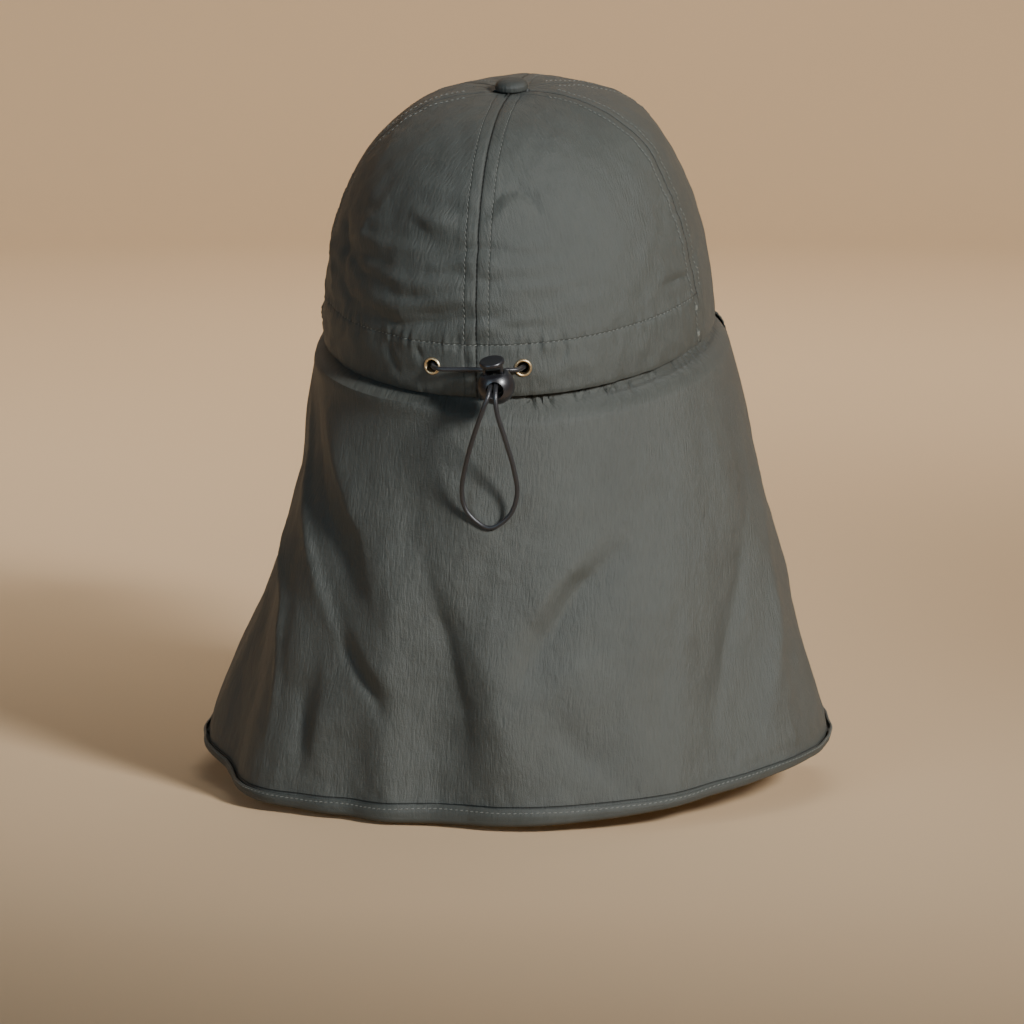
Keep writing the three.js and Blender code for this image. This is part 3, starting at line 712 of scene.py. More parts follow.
def flap_relief(turn, fall):
    """Narrow folds and creases, puckers over the tape, and a slow roll."""
    down = fall * fall_run
    relief = fold_at(turn, fall, narrow_folds)
    for points_of, widths, height in flap_creases:
        line = [(place * turn_run, share * fall_run) for place, share in points_of]
        relief = relief + crease(turn * turn_run, down, line, widths, height)
    puckers = rough_2d(turn / 1.5, fall * 9.0, 8.0) + rough_2d(turn / 3.2, fall * 5.0, 19.0)
    free = 1 - smooth(fall, 0.952, 0.975)  # the tape holds the edge flat
    relief = relief + puckers * smooth(fall, 0.88, 0.95) * 0.45 * free
    slow = rough_2d(turn / 12.0, down / 40.0, 11.0) * 1.8
    slow = slow + rough_2d(turn / 6.0, down / 16.0, 14.0) * 0.6
    small = rough_2d(turn / 2.6, down / 6.5, 23.0) * 0.24
    return relief + (slow + small * free) * smooth(fall, 0.1, 0.3)


def tuck_ticks(turn, fall):
    """Depths of the tiny pleats where the flap goes in under the rim, deepest behind the right."""
    ticks = np.clip(1 - np.abs(rough_2d(turn / 1.5 + fall * 21, fall * 6.0, 2.0)) * 6.0, 0, 1)
    ticks = ticks * (0.2 + 0.8 * smooth(-turn, -6, 14))
    ticks = ticks * smooth(rough_2d(turn / 7, 0 * fall, 5.0), -0.35, 0.1)
    return 1.7 * ticks * smooth(fall, 0.022, 0.03) * (1 - smooth(fall, 0.045, 0.078))


def flap_middle(turn, fall):
    turn, fall = np.broadcast_arrays(np.asarray(turn, float), np.asarray(fall, float))
    t = np.radians(turn)
    x, y = np.sin(t), np.cos(t)
    hem = hem_point(turn)
    tuck = np.full_like(x, flap_tuck)
    top = leaned(np.stack([crown_half_width * x, crown_half_length * y, tuck], -1))
    below = fall * np.linalg.norm(top - hem, axis=-1) - flap_tuck
    inside = leaned(np.stack([(crown_half_width - flap_inset) * x,
                              (crown_half_length - flap_inset) * y, -below], -1))
    out = np.stack([x / hem_half_width, y / hem_half_length, np.zeros_like(x)], -1)
    out /= np.linalg.norm(out, axis=-1, keepdims=True)
    push = fold_at(turn, fall, broad_folds) + flap_relief(turn, fall)
    hanging = top + (hem - top) * fall[..., None] + out * push[..., None]
    roll = flap_roll_left + (flap_roll_right - flap_roll_left) * smooth(-turn, -25, 15)
    point = inside + (hanging - inside) * smooth(below / roll, 0, 1)[..., None]
    return point - out * tuck_ticks(turn, fall)[..., None]


def front_edge(fall):
    into = np.clip((fall - 1 + hem_corner_share) / hem_corner_share, 0, 1)
    return flap_front - hem_corner_turn * (1 - np.sqrt(1 - into**2))


def flap_point(side, fall, offset=0.0):
    """side runs from 0, the cap's left front edge, to 1, its right one."""
    side, fall = np.broadcast_arrays(np.asarray(side, float), np.asarray(fall, float))

    def middle(s, f):
        return flap_middle(front_edge(f) * (1 - 2 * s), f)

    e = 1.5e-3
    point = middle(side, fall)
    normal = np.cross(middle(side + e, fall) - middle(side - e, fall),
                      middle(side, fall - e) - middle(side, fall + e))
    normal /= np.linalg.norm(normal, axis=-1, keepdims=True)
    return point + normal * np.asarray(offset)[..., None], normal


print("flap sizes ready")

# %% Flap
flap_rows = np.concatenate([np.linspace(0, 0.1, 16)[:-1], np.linspace(0.1, 0.88, 96)[:-1],
                            1 - 0.12 * (1 - np.sin(np.linspace(0, math.pi / 2, 22)))])
flap_sides = np.linspace(0, 1, 341)
flap_grid, _ = flap_point(flap_sides[None, :], flap_rows[::-1][:, None], flap_cloth / 2)


def beyond_tape(grid, rows, reach=6.3):
    """How far each point lies above the lip of the tape that binds the hem and the front edges."""
    up = np.linalg.norm(np.diff(grid, axis=0), axis=-1)
    from_hem = np.concatenate([np.zeros((1, grid.shape[1])), np.cumsum(up, axis=0)])
    u, _ = lengths_of(grid)
    from_side = np.minimum(u - u[:, :1], u[:, -1:] - u) + 90 * smooth(rows, 0.86, 0.9)[:, None]
    return np.minimum(from_hem, from_side) - reach


over_tape = beyond_tape(flap_grid, flap_rows[::-1])
flap_lines = np.stack([over_tape * 0 + no_line, over_tape], -1)
flap = cloth_piece("flap_cloth", flap_grid, flap_cloth, flap_finish, lines=flap_lines)
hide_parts("neck_flap")
flap_width, flap_length, flap_area = cut_of(flap_grid)
print(f"flap {flap_width * 1000:.0f} x {flap_length * 1000:.0f} mm, {flap_area * 1e4:.0f} cm2")

# %% [markdown]
# ## Stitches
#
# A stitch is a short thread that rises out of one needle hole and dips into the next. One tiny
# arched tube is copied along a line on the cloth, and each row is kept as one mesh.


# %% Stitch maker
def resampled(line, step):
    """Places at equal steps along a line, and the length up to each of its points."""
    pieces = np.linalg.norm(np.diff(line, axis=0), axis=-1)
    along = np.concatenate([[0], np.cumsum(pieces)])
    places = np.arange(step / 2, along[-1] - step / 2, step)
    return places, along


def stitch_row(line, normals, pitch=stitch_pitch, length=1.75, radius=0.19, sink=0.06, slant=0.16):
    """Vertices and faces of one row of stitches that follows a line on the cloth."""
    places, along = resampled(line, pitch)
    rings, sides = 5, 6
    s = np.linspace(-1, 1, rings)
    at = places[:, None] + s[None, :] * length / 2
    middle = np.stack([np.interp(at, along, line[:, k]) for k in range(3)], -1)
    up = np.stack([np.interp(at, along, normals[:, k]) for k in range(3)], -1)
    up /= np.linalg.norm(up, axis=-1, keepdims=True)
    forward = np.gradient(middle, axis=1)
    forward /= np.linalg.norm(forward, axis=-1, keepdims=True)
    across = np.cross(up, forward)
    size = radius * np.sqrt(np.maximum(1 - np.abs(s) ** 3, 0.04))
    lift = (radius * 1.1) * (1 - s**2) - sink
    centre = middle + up * lift[None, :, None] + across * (s * slant)[None, :, None]
    angle = np.arange(sides) * 2 * math.pi / sides
    ring = (across[:, :, None] * np.cos(angle)[None, None, :, None]
            + up[:, :, None] * np.sin(angle)[None, None, :, None] * 0.85)
    points = centre[:, :, None] + ring * size[None, :, None, None]
    count = len(places)
    r, k = np.meshgrid(np.arange(rings - 1), np.arange(sides), indexing="ij")
    a = (r * sides + k).ravel()
    b = (r * sides + (k + 1) % sides).ravel()
    one = np.stack([a, a + sides, b + sides, b], -1)
    base = np.arange(count)[:, None, None] * rings * sides
    faces = (one[None] + base).reshape(-1, 4).tolist()
    for c in range(count):
        start = c * rings * sides
        faces.append(list(range(start, start + sides)))
        faces.append(list(range(start + rings * sides - 1, start + (rings - 1) * sides - 1, -1)))
    return points.reshape(-1, 3), faces, count


def stitch_piece(name, rows, body="cap"):
    points, faces, total, start = [], [], 0, 0
    for line, normals, *rest in rows:
        p, f, count = stitch_row(line, normals, *rest)
        points.append(p)
        faces += [[v + start for v in face] for face in f]
        start += len(p)
        total += count
    piece = mesh_piece(name, np.concatenate(points), faces, sewing_thread, body, sharp=180)
    print(name, total, "stitches")
    return piece


print("stitch maker ready")

# %% Rows on the crown
def crown_line(turn, rise):
    points, out = crown_point(turn, rise)
    return leaned(points), leaned(out)


def seam_side_turns(seam, side, heights, distance):
    """Turns at which a line runs at a distance from a seam, at each height."""
    rise = rise_at(heights)
    t = math.radians(seam)
    plane = np.array([crown_half_length * math.cos(t), -crown_half_width * math.sin(t)])
    plane /= np.linalg.norm(plane)
    turn = np.full(len(heights), float(seam))
    for _ in range(6):
        here = crown_skin(turn, rise)
        off = (here[:, 0] * plane[0] + here[:, 1] * plane[1]) * side
        reach = np.linalg.norm(here[:, :2], axis=-1)
        turn = turn + side * np.degrees((distance - off) / np.maximum(reach, 3))
    return turn, rise


crown_rows = []
for seam in seams[:-1]:
    start = channel_height + 1.5 if abs(seam) <= side_back_seam else 1.5
    heights = crown_height * np.sin(np.linspace(np.arcsin(start / crown_height), 1.47, 400))
    for side in (-1, 1):
        turn, rise = seam_side_turns(seam, side, heights, seam_row)
        crown_rows.append(crown_line(turn, rise))
stitch_piece("seam_stitches", crown_rows)

# %% Rows of the tunnel
band_turns = np.linspace(side_back_seam - 2, -side_back_seam + 2, 700)
tunnel_rows = [crown_line(band_turns, rise_at(channel_height) + 0 * band_turns)]
for end in (1, -1):
    up = np.linspace(1.2, channel_height - 0.5, 60)
    tunnel_rows.append(crown_line(end * (side_back_seam - 2.6) + 0 * up, rise_at(up)))
    for tack in (4.5, 16):
        for k in range(6):
            wide = np.linspace(-0.95, 0.95, 8)
            line, out = crown_line(end * (side_back_seam - 2.6) + wide, rise_at(tack + 0.35 * k) + 0 * wide)
            tunnel_rows.append((line, out, 2.6, 2.4, 0.17))
stitch_piece("tunnel_stitches", tunnel_rows)

# %% [markdown]
# ## Eyelets
#
# Each eyelet is a turned brass ring: a domed flange outside, a short barrel through the cloth
# and a flat flange behind. It is one closed profile turned round its axis. The panel gets a real
# hole for it.

# %% Eyelets
eyelet_spacing = 38.4
eyelet_height = 12.3
eyelet_hole = 2.55
eyelet_cut = 3.0  # radius of the hole in the panel
eyelet_turn = math.degrees(math.asin(eyelet_spacing / 2 / crown_half_width))


def turned(name, profile, material, place, around=64, body="cap", sharp=35):
    """A closed profile of (radius, height) pairs turned round the Z axis of a placing matrix."""
    angle = np.arange(around) * 2 * math.pi / around
    profile = np.asarray(profile, float)
    ring = np.stack([np.outer(profile[:, 0], np.cos(angle)), np.outer(profile[:, 0], np.sin(angle)),
                     np.repeat(profile[:, 1][:, None], around, 1)], -1)
    points = ring.reshape(-1, 3)
    count = len(profile)
    i, k = np.meshgrid(np.arange(count), np.arange(around), indexing="ij")
    a = (i * around + k).ravel()
    b = (i * around + (k + 1) % around).ravel()
    c = (((i + 1) % count) * around + (k + 1) % around).ravel()
    d = (((i + 1) % count) * around + k).ravel()
    at = np.asarray(place)
    moved = points @ at[:3, :3].T + at[:3, 3]
    return mesh_piece(name, moved, np.stack([a, b, c, d], -1), material, body, sharp=sharp)


def placed(origin, z_axis, x_axis=(1, 0, 0)):
    """A matrix whose Z axis points along z_axis, at a point in millimetres."""
    z = np.asarray(z_axis, float) / np.linalg.norm(z_axis)
    x = np.asarray(x_axis, float) - z * np.dot(x_axis, z)
    x /= np.linalg.norm(x)
    at = np.eye(4)
    at[:3, 0], at[:3, 1], at[:3, 2], at[:3, 3] = x, np.cross(z, x), z, origin
    return at


def brass_finish():
    brass = Finish("worn_brass", Metallic=1.0)
    place = brass.node("ShaderNodeTexCoord", None, None, 3)
    cloud = brass.noise(place, (420, 420, 420), 4.0, 0.6)
    scratch = brass.noise(place, (2600, 2600, 500), 2.0, 0.5)
    brass.set(
        Base_Color=brass.mix(cloud, (0.9, 0.73, 0.47, 1), (0.66, 0.48, 0.25, 1)),
        Roughness=0.26 + cloud * 0.18 + scratch * 0.08,
        Normal=brass.bump(scratch, 0.00004, 0.5),
    )
    return brass.material


worn_brass = brass_finish()


def eyelet(name, node, side):
    rise = float(rise_at(eyelet_height))
    out = normals_of(crown_skin(side * eyelet_turn + np.array([1e-2, 0, -1e-2])[None, :],
                                rise + np.array([-1e-4, 0, 1e-4])[:, None]))[1, 1]
    at = placed(leaned(crown_skin(side * eyelet_turn, rise)), leaned(out))
    wide = np.linspace(0, math.pi, 13)
    rim = [(3.15 + 0.6 * math.cos(a), 0.3 + 0.8 * math.sin(a)) for a in wide]
    back = -(crown_cloth + 2 * gap)
    profile = [*rim, (eyelet_hole, -0.4), (eyelet_hole, back - 0.4),
               (2.75, back - 0.55), (3.25, back - 0.45),
               (3.3, back - 0.2), (3.2, back), (2.9, back), (2.9, 0.2)]
    ring = turned(name, profile[::-1], worn_brass, at)
    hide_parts(node)
    return at


def solid_object(name, bm):
    mesh = bpy.data.meshes.new(name)
    bm.to_mesh(mesh)
    bm.free()
    made = bpy.data.objects.new(name, mesh)
    bpy.context.collection.objects.link(made)
    return made


def combined(base, steps):
    """Joins and cuts tools from a mesh, one after another, and removes the tools."""
    for operation, tool in steps:
        change = base.modifiers.new(tool.name, "BOOLEAN")
        change.operation = operation
        change.object = tool
        change.solver = "EXACT"
    bpy.context.view_layer.update()
    done = bpy.data.meshes.new_from_object(base.evaluated_get(bpy.context.evaluated_depsgraph_get()))
    base.modifiers.clear()
    base.data = done
    for _, tool in steps:
        bpy.data.objects.remove(tool)
    return base


def punched(panel, at, radius):
    """Cuts a round hole along a matrix's Z axis through a panel."""
    bm = bmesh.new()
    bmesh.ops.create_cone(bm, cap_ends=True, segments=32, radius1=radius * MM,
                          radius2=radius * MM, depth=8 * MM)
    punch = solid_object("punch", bm)
    moved = Matrix(at.tolist())
    moved.translation = Vector(at[:3, 3]) * MM
    punch.matrix_world = moved
    combined(panel, [("DIFFERENCE", punch)])


for side, word in ((1, "left"), (-1, "right")):
    ring_at = eyelet(f"brass_eyelet_{word}", f"eyelet_{word}", side)
    punched(bpy.data.objects[f"panel_back_{word}"], ring_at, eyelet_cut)
    print("eyelet", word, "at", np.round(ring_at[:3, 3], 1))

# %% [markdown]
# ## Drawcord
#
# The cord is two millimetres thick and braided. It leaves one eyelet, goes through the ball of
# the cord lock, hangs in a long loop, goes back through the ball and into the other eyelet. Its
# line is given as a list of points, and the braid is a small relief of crossing strands on a fine tube.

# %% Cord line
cord_diameter = 2
cord_route = np.array([
    [32.2, 89.2, -6.8], [22.9, 92.5, -7.5], [20.8, 93.6, -7.6], [19.5, 95.5, -7.9],
    [18.9, 98.2, -8.2], [18.4, 100.4, -8.5], [17.0, 102.6, -8.8], [14.6, 104.0, -9.0],
    [-1.2, 104.1, -8.8], [-4.0, 104.5, -8.9], [-6.3, 105.9, -9.4], [-7.6, 108.4, -10.1],
    [-9.5, 121.1, -14.3], [-9.6, 123.3, -15.5], [-9.3, 124.8, -17.5], [-8.6, 125.4, -19.9],
    [-6.5, 124.6, -25.0], [0.4, 118.0, -43.5], [4.1, 112.0, -60.0], [1.9, 110.1, -68.2],
    [-6.7, 109.3, -74.3], [-15.3, 110.2, -69.2], [-19.2, 112.3, -59.5], [-18.5, 115.9, -48.5],
    [-15.7, 120.6, -35.5], [-13.2, 124.2, -25.0], [-12.6, 125.1, -19.8], [-12.4, 124.6, -17.3],
    [-12.2, 123.2, -15.3], [-11.9, 121.1, -14.1], [-10.2, 109.3, -10.2], [-10.9, 106.7, -9.3],
    [-12.7, 104.8, -8.9], [-15.1, 103.8, -8.8], [-17.1, 102.5, -8.8], [-18.4, 100.4, -8.5],
    [-19.5, 95.5, -7.9], [-20.8, 93.6, -7.6], [-22.9, 92.5, -7.5], [-32.2, 89.2, -6.8],
])


def smooth_line(points, steps):
    """A centripetal Catmull-Rom curve through the points."""
    p = np.vstack([2 * points[0] - points[1], points, 2 * points[-1] - points[-2]])
    line = []
    for a, b, c, d in zip(p[:-3], p[1:-2], p[2:-1], p[3:]):
        t1 = np.linalg.norm(b - a) ** 0.5
        t2 = t1 + np.linalg.norm(c - b) ** 0.5
        t3 = t2 + np.linalg.norm(d - c) ** 0.5
        t = np.linspace(t1, t2, steps, endpoint=False)[:, None]
        ab, bc = a + (b - a) * t / t1, b + (c - b) * (t - t1) / (t2 - t1)
        cd = c + (d - c) * (t - t2) / (t3 - t2)
        abc, bcd = ab + (bc - ab) * t / t2, bc + (cd - bc) * (t - t1) / (t3 - t1)
        line.append(abc + (bcd - abc) * (t - t1) / (t2 - t1))
    return np.vstack([*line, points[-1:]])


def even_line(line, step):
    pieces = np.linalg.norm(np.diff(line, axis=0), axis=-1)
    along = np.concatenate([[0], np.cumsum(pieces)])
    at = np.linspace(0, along[-1], int(round(along[-1] / step)) + 1)
    return np.stack([np.interp(at, along, line[:, k]) for k in range(3)], -1), at


def frames_along(line):
    """Two directions across a line that turn with it and never twist."""
    forward = np.gradient(line, axis=0)
    forward /= np.linalg.norm(forward, axis=-1, keepdims=True)
    across = np.empty_like(line)
    side = np.cross(forward[0], [0, 0, 1.0])
    for i, f in enumerate(forward):
        side = side - f * np.dot(side, f)
        side = side / np.linalg.norm(side)
        across[i] = side
    return across, np.cross(forward, across)


def cord_finish():
    cord = Finish("black_cord", Sheen_Weight=0.1, Sheen_Roughness=0.4, Specular_IOR_Level=0.7)
    place = cord.node("ShaderNodeTexCoord", None, None, 3)
    fibre = cord.noise(place, (3200, 3200, 1400), 3.0, 0.6)
    cord.set(
        Base_Color=cord.mix(fibre, (0.004, 0.004, 0.005, 1), (0.026, 0.026, 0.029, 1)),
        Roughness=0.3 + fibre * 0.2,
        Normal=cord.bump(fibre, 0.00008, 0.7),
    )
    return cord.material


cord_line, cord_at = even_line(smooth_line(cord_route, 24), 0.2)
strand_side, strand_up = frames_along(cord_line)
sides = 28
angle = np.arange(sides) * 2 * math.pi / sides
phase = cord_at[:, None] * 2 * math.pi / 1.6
left_hand = np.abs(np.sin(angle[None, :] * 2 + phase))
right_hand = np.abs(np.sin(angle[None, :] * 2 - phase))
radius = cord_diameter / 2 * (0.9 + 0.1 * np.maximum(left_hand, right_hand))
tube = cord_line[:, None] + radius[..., None] * (
    np.cos(angle)[None, :, None] * strand_side[:, None] + np.sin(angle)[None, :, None] * strand_up[:, None]
)
ring_count = len(cord_line)
cord_faces = tube_quads(ring_count, sides)
cord_faces += [list(range(sides))[::-1], [v + (ring_count - 1) * sides for v in range(sides)]]
black_cord = cord_finish()
cord = mesh_piece("braided_cord", tube.reshape(-1, 3), cord_faces, black_cord, sharp=180)
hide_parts("drawcord")
print("cord", round(cord_at[-1], 1), "mm", ring_count, "rings")

# %% [markdown]
# ## Cord lock
#
# The lock is a glossy black ball with a flat top and a cross hole, and a sprung plunger in it
# whose window closes on the cord. The ball is turned, then cut by a flared punch, so the edge of
# the hole is rounded as on a moulded part.

# %% Lock sizes and finish
ball_radius = 7.9
ball_bottom = math.radians(-62)
ball_top = math.radians(48)
lock_hole_radius = 3.5
lock_hole_height = 1
lock_place = np.array([-10.6, 114, -14.2])
plunger_travel = 3.5
stem_width, stem_depth, stem_sole = 8.2, 3.8, 2.2
window_width = 6.2
head_radius, head_thickness = 5.3, 2
cord_seat = lock_hole_height + 1.3
top_height = ball_radius * math.sin(ball_top)
window_bottom = cord_seat - cord_diameter / 2 - gap
window_top = cord_seat + cord_diameter / 2 + gap + plunger_travel + 1.5
stem_bottom = window_bottom - stem_sole
head_bottom = top_height + plunger_travel + gap
lock_matrix = (
    Matrix.Translation(lock_place.tolist())
    @ Matrix.Rotation(math.radians(8), 4, "Z")
    @ Matrix.Rotation(math.radians(-18), 4, "X")
    @ Matrix.Rotation(math.radians(8), 4, "Y")
)
lock_at = np.array(lock_matrix)


def plastic_finish():
    plastic = Finish("black_plastic", Specular_IOR_Level=0.6, Coat_Weight=0.35, Coat_Roughness=0.2)
    place = plastic.node("ShaderNodeTexCoord", None, None, 3)
    cloud = plastic.noise(place, (260, 260, 260), 3.0, 0.5)
    grain = plastic.noise(place, (3000, 3000, 3000), 2.0, 0.5)
    plastic.set(
        Base_Color=plastic.mix(cloud, (0.006, 0.006, 0.0075, 1), (0.014, 0.014, 0.017, 1)),
        Roughness=0.32 + cloud * 0.14,
        Normal=plastic.bump(grain * 0.5 + cloud * 0.5, 0.00005, 0.5),
    )
    return plastic.material


black_plastic = plastic_finish()


def lathe_solid(name, profile, around=72):
    """A closed mesh turned from a profile that starts and ends on the axis."""
    bm = bmesh.new()
    rings = []
    for radius, up in profile:
        if radius < 1e-6:
            rings.append([bm.verts.new((0, 0, up))])
            continue
        turns = [2 * math.pi * k / around for k in range(around)]
        rings.append([bm.verts.new((radius * math.cos(t), radius * math.sin(t), up)) for t in turns])
    for low, high in zip(rings, rings[1:]):
        for k in range(around):
            n = (k + 1) % around
            corner = [low[k % len(low)], low[n % len(low)], high[n % len(high)], high[k % len(high)]]
            kept = list(dict.fromkeys(corner))
            bm.faces.new(kept)
    bmesh.ops.recalc_face_normals(bm, faces=bm.faces[:])
    return solid_object(name, bm)


def rounded_box(name, size, centre, bevel):
    bm = bmesh.new()
    bmesh.ops.create_cube(bm, size=1)
    bmesh.ops.scale(bm, vec=size, verts=bm.verts[:])
    if bevel:
        bmesh.ops.bevel(bm, geom=bm.edges[:], offset=bevel, segments=3, profile=0.5, affect="EDGES")
    bmesh.ops.translate(bm, vec=centre, verts=bm.verts[:])
    return solid_object(name, bm)


def moulded(piece, node, body):
    """Places a finished lock piece, given in millimetres in the lock's own frame."""
    to_metres = Matrix.Diagonal((MM, MM, MM, 1))
    piece.data.transform(to_metres @ lock_matrix)
    piece.data.materials.clear()
    piece.data.materials.append(black_plastic)
    piece.data.polygons.foreach_set("use_smooth", [True] * len(piece.data.polygons))
    piece.data.set_sharp_from_angle(angle=math.radians(50))
    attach(piece, body)
    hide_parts(node)
    print(piece.name, len(piece.data.vertices), "points")


print("lock axis", [round(v, 4) for v in lock_at[:3, 2]])

# %% Ball
latitudes = np.linspace(ball_bottom, ball_top, 42)
arc = [(ball_radius * math.cos(a), ball_radius * math.sin(a)) for a in latitudes]
low_edge, high_edge = arc[0], arc[-1]
edge = 0.5
profile = [(0, low_edge[1]), (low_edge[0] - edge, low_edge[1]), (low_edge[0] - 0.12, low_edge[1] + 0.1),
           *arc[1:-1], (high_edge[0] - 0.12, high_edge[1] - 0.1), (high_edge[0] - edge, high_edge[1]),
           (0, high_edge[1])]
ball = lathe_solid("lock_ball", profile, 96)
mouth = [(lock_hole_radius + 1.5 * (1 - math.sin(a)), -7.8 + 1.5 * (1 - math.cos(a)))
         for a in np.linspace(0, math.pi / 2, 9)]
flare = [(0, -12), (lock_hole_radius + 1.5, -12), *mouth]
flare += [(r, -z) for r, z in flare[::-1]]
hole = lathe_solid("hole_punch", flare, 64)
hole.data.transform(Matrix.Translation((0, 0, lock_hole_height)) @ Matrix.Rotation(math.pi / 2, 4, "X"))
pocket_low = stem_bottom - plunger_travel - gap
pocket_height = top_height + 1 - pocket_low
pocket = rounded_box("pocket_punch", (stem_width + 2 * gap, stem_depth + 2 * gap, pocket_height),
                     (0, 0, pocket_low + pocket_height / 2), 0.6)
moulded(combined(ball, [("DIFFERENCE", pocket), ("DIFFERENCE", hole)]), "toggle_barrel", "cap")

# %% Plunger
half = head_thickness / 2
lip = [(head_radius - 0.7 + 0.7 * math.cos(a), head_bottom + half + (half - 0.02) * math.sin(a))
       for a in np.linspace(-math.pi / 2, math.pi / 2, 13)]
head_top = head_bottom + head_thickness
dish = [(head_radius - 1.6, head_top - 0.1), (head_radius - 2.2, head_top - 0.16), (0, head_top - 0.16)]
head = lathe_solid("lock_plunger", [(0, head_bottom), *lip, *dish], 72)
stem = rounded_box("stem", (stem_width, stem_depth, head_bottom + 0.6 - stem_bottom),
                   (0, 0, (head_bottom + 0.6 + stem_bottom) / 2), 0.5)
window = rounded_box("window_punch", (window_width, 2 * stem_depth, window_top - window_bottom),
                     (0, 0, (window_top + window_bottom) / 2), 0.4)
moulded(combined(head, [("UNION", stem), ("DIFFERENCE", window)]), "toggle_plunger", "plunger")

# %% [markdown]
# ## Hem tape
#
# The hem and both front edges are bound: a strip of tape is folded over the raw edge and stitched
# through. Its section is a deep U that is swept along the edge, always following the flap's
# surface, so it waves with the folds.

# %% Tape
binding_height = 8
binding_cloth = 1
binding_slack = 0.8
binding_start = 4
tape_outer = flap_cloth / 2 + binding_slack + 0.75
tape_fold = binding_slack + binding_cloth
tape_leg = binding_height - tape_fold
tape_swell = 0.45  # how far the tape puffs away from the corners
tape_thickness = 0.55


def edge_stations():
    """Side, fall and turning of the tape's path: down the left edge, round the hem and up again."""
    start = (flap_tuck + binding_start) / hem_fall_side
    into = np.sin(np.linspace(0, math.pi / 2, 34))
    down = np.concatenate([np.linspace(start, 1 - hem_corner_share, 90)[:-1],
                           1 - hem_corner_share * (1 - into)])
    round_ = np.arcsin(np.clip((down - 1 + hem_corner_share) / hem_corner_share, 0, 1))
    hem = np.linspace(0, 1, 430)[1:-1]
    side = np.concatenate([0 * down, hem, 0 * down + 1])
    fall = np.concatenate([down, 1 + 0 * hem, down[::-1]])
    turned_by = np.concatenate([round_, math.pi / 2 + 0 * hem, round_[::-1]])
    return side, fall, turned_by


tape_side, tape_fall, tape_round = edge_stations()
inwards = np.where(tape_side < 0.5, 1.0, -1.0)
tape_edge, _ = flap_point(tape_side, tape_fall)
beside, _ = flap_point(tape_side + inwards * 0.005, tape_fall)
above, _ = flap_point(tape_side, tape_fall - 0.01)
side_length = np.linalg.norm(beside - tape_edge, axis=-1) / 0.005
fall_length = np.linalg.norm(above - tape_edge, axis=-1) / 0.01
tape_along = np.gradient(tape_edge, axis=0)
tape_along /= np.linalg.norm(tape_along, axis=-1, keepdims=True)


def on_tape(distance, offset):
    """A point inside the edge by a distance along the flap, and off its middle by an offset."""
    side = tape_side + inwards * distance * np.cos(tape_round) / side_length
    fall = tape_fall - distance * np.sin(tape_round) / fall_length
    return flap_point(side, fall, np.broadcast_to(offset, side.shape))


inner_edge, _ = on_tape(tape_leg / 2, 0.0)
past = tape_edge - inner_edge
past -= tape_along * (past * tape_along).sum(-1, keepdims=True)
past /= np.linalg.norm(past, axis=-1, keepdims=True)
_, tape_out = on_tape(0.0, 0.0)
tape_places = np.concatenate([[0], np.cumsum(np.linalg.norm(np.diff(tape_edge, axis=0), axis=-1))])
tape_pull = rough_2d(tape_places / 4.2, 0 * tape_places, 21.0)
tape_pull = tape_pull + 0.6 * rough_2d(tape_places / 2.1, 0 * tape_places, 27.0)
stitch_inset = 1.8
swell = smooth(np.minimum(tape_places, tape_places[-1] - tape_places), 0, 35)


def tape_layer(face, depth):
    """One face of the tape from its lip to the fold: points of each station, lip first."""
    rows = []
    outer = face * (tape_outer - depth + tape_swell * swell)
    for share in np.linspace(0, 1, 10):
        distance = tape_leg * (1 - share)
        inset = abs(distance - (tape_leg - stitch_inset))
        dip = 0.16 * math.exp(-((inset / 0.6) ** 2)) + (0.22 * (1 - share) ** 6 if depth == 0 else 0)
        belly = 0.45 * math.sin(math.pi * share) * (1 - depth / binding_cloth * 0.5) * swell
        wave = 0.16 * tape_pull * math.sin(math.pi * min(1, share * 1.15 + 0.1))
        rows.append(on_tape(distance, outer + face * (belly - dip) + face * wave)[0])
    return rows


def fold_row(angle, depth):
    """The rounded fold past the edge, from the outer face, 0, round to the inner one, pi."""
    reach = tape_fold - depth
    width = (tape_outer - depth + tape_swell * swell)[:, None]
    return tape_edge + tape_out * (width * math.cos(angle)) + past * (reach * math.sin(angle))


folds = np.linspace(0, math.pi, 11)[1:-1]
tape_loop = [*tape_layer(1, 0.0), *[fold_row(a, 0.0) for a in folds], *tape_layer(-1, 0.0)[::-1],
             *tape_layer(-1, tape_thickness), *[fold_row(a, tape_thickness) for a in folds[::-1]],
             *tape_layer(1, tape_thickness)[::-1]]
tape_grid = np.stack(tape_loop, 1)
stations, around = tape_grid.shape[:2]
tape_faces = tube_quads(stations, around, flip=True)
half_loop = around // 2
for start, flip in ((0, False), ((stations - 1) * around, True)):
    for j in range(half_loop - 1):
        face = [start + j, start + j + 1, start + around - 2 - j, start + around - 1 - j]
        tape_faces.append(face[::-1] if flip else face)
loop_length = np.concatenate([[0], np.cumsum(np.linalg.norm(np.diff(tape_grid, axis=1), axis=-1).mean(0))])
tape_uv = np.stack(np.broadcast_arrays(tape_places[:, None], loop_length[None, :]), -1).reshape(-1, 2)
tape = mesh_piece("hem_tape", tape_grid.reshape(-1, 3), tape_faces, tape_cloth, uv=tape_uv, sharp=60)
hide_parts("hem_binding")
print("tape", round(tape_places[-1]), "mm along the edge,", stations, "stations")

# %% Tape stitches
tape_rows = []
for face in (1, -1):
    line, out = on_tape(tape_leg - stitch_inset, face * (tape_outer + 0.6 * swell))
    tape_rows.append((line, out * face))
tape_thread = stitch_piece("tape_stitches", tape_rows)

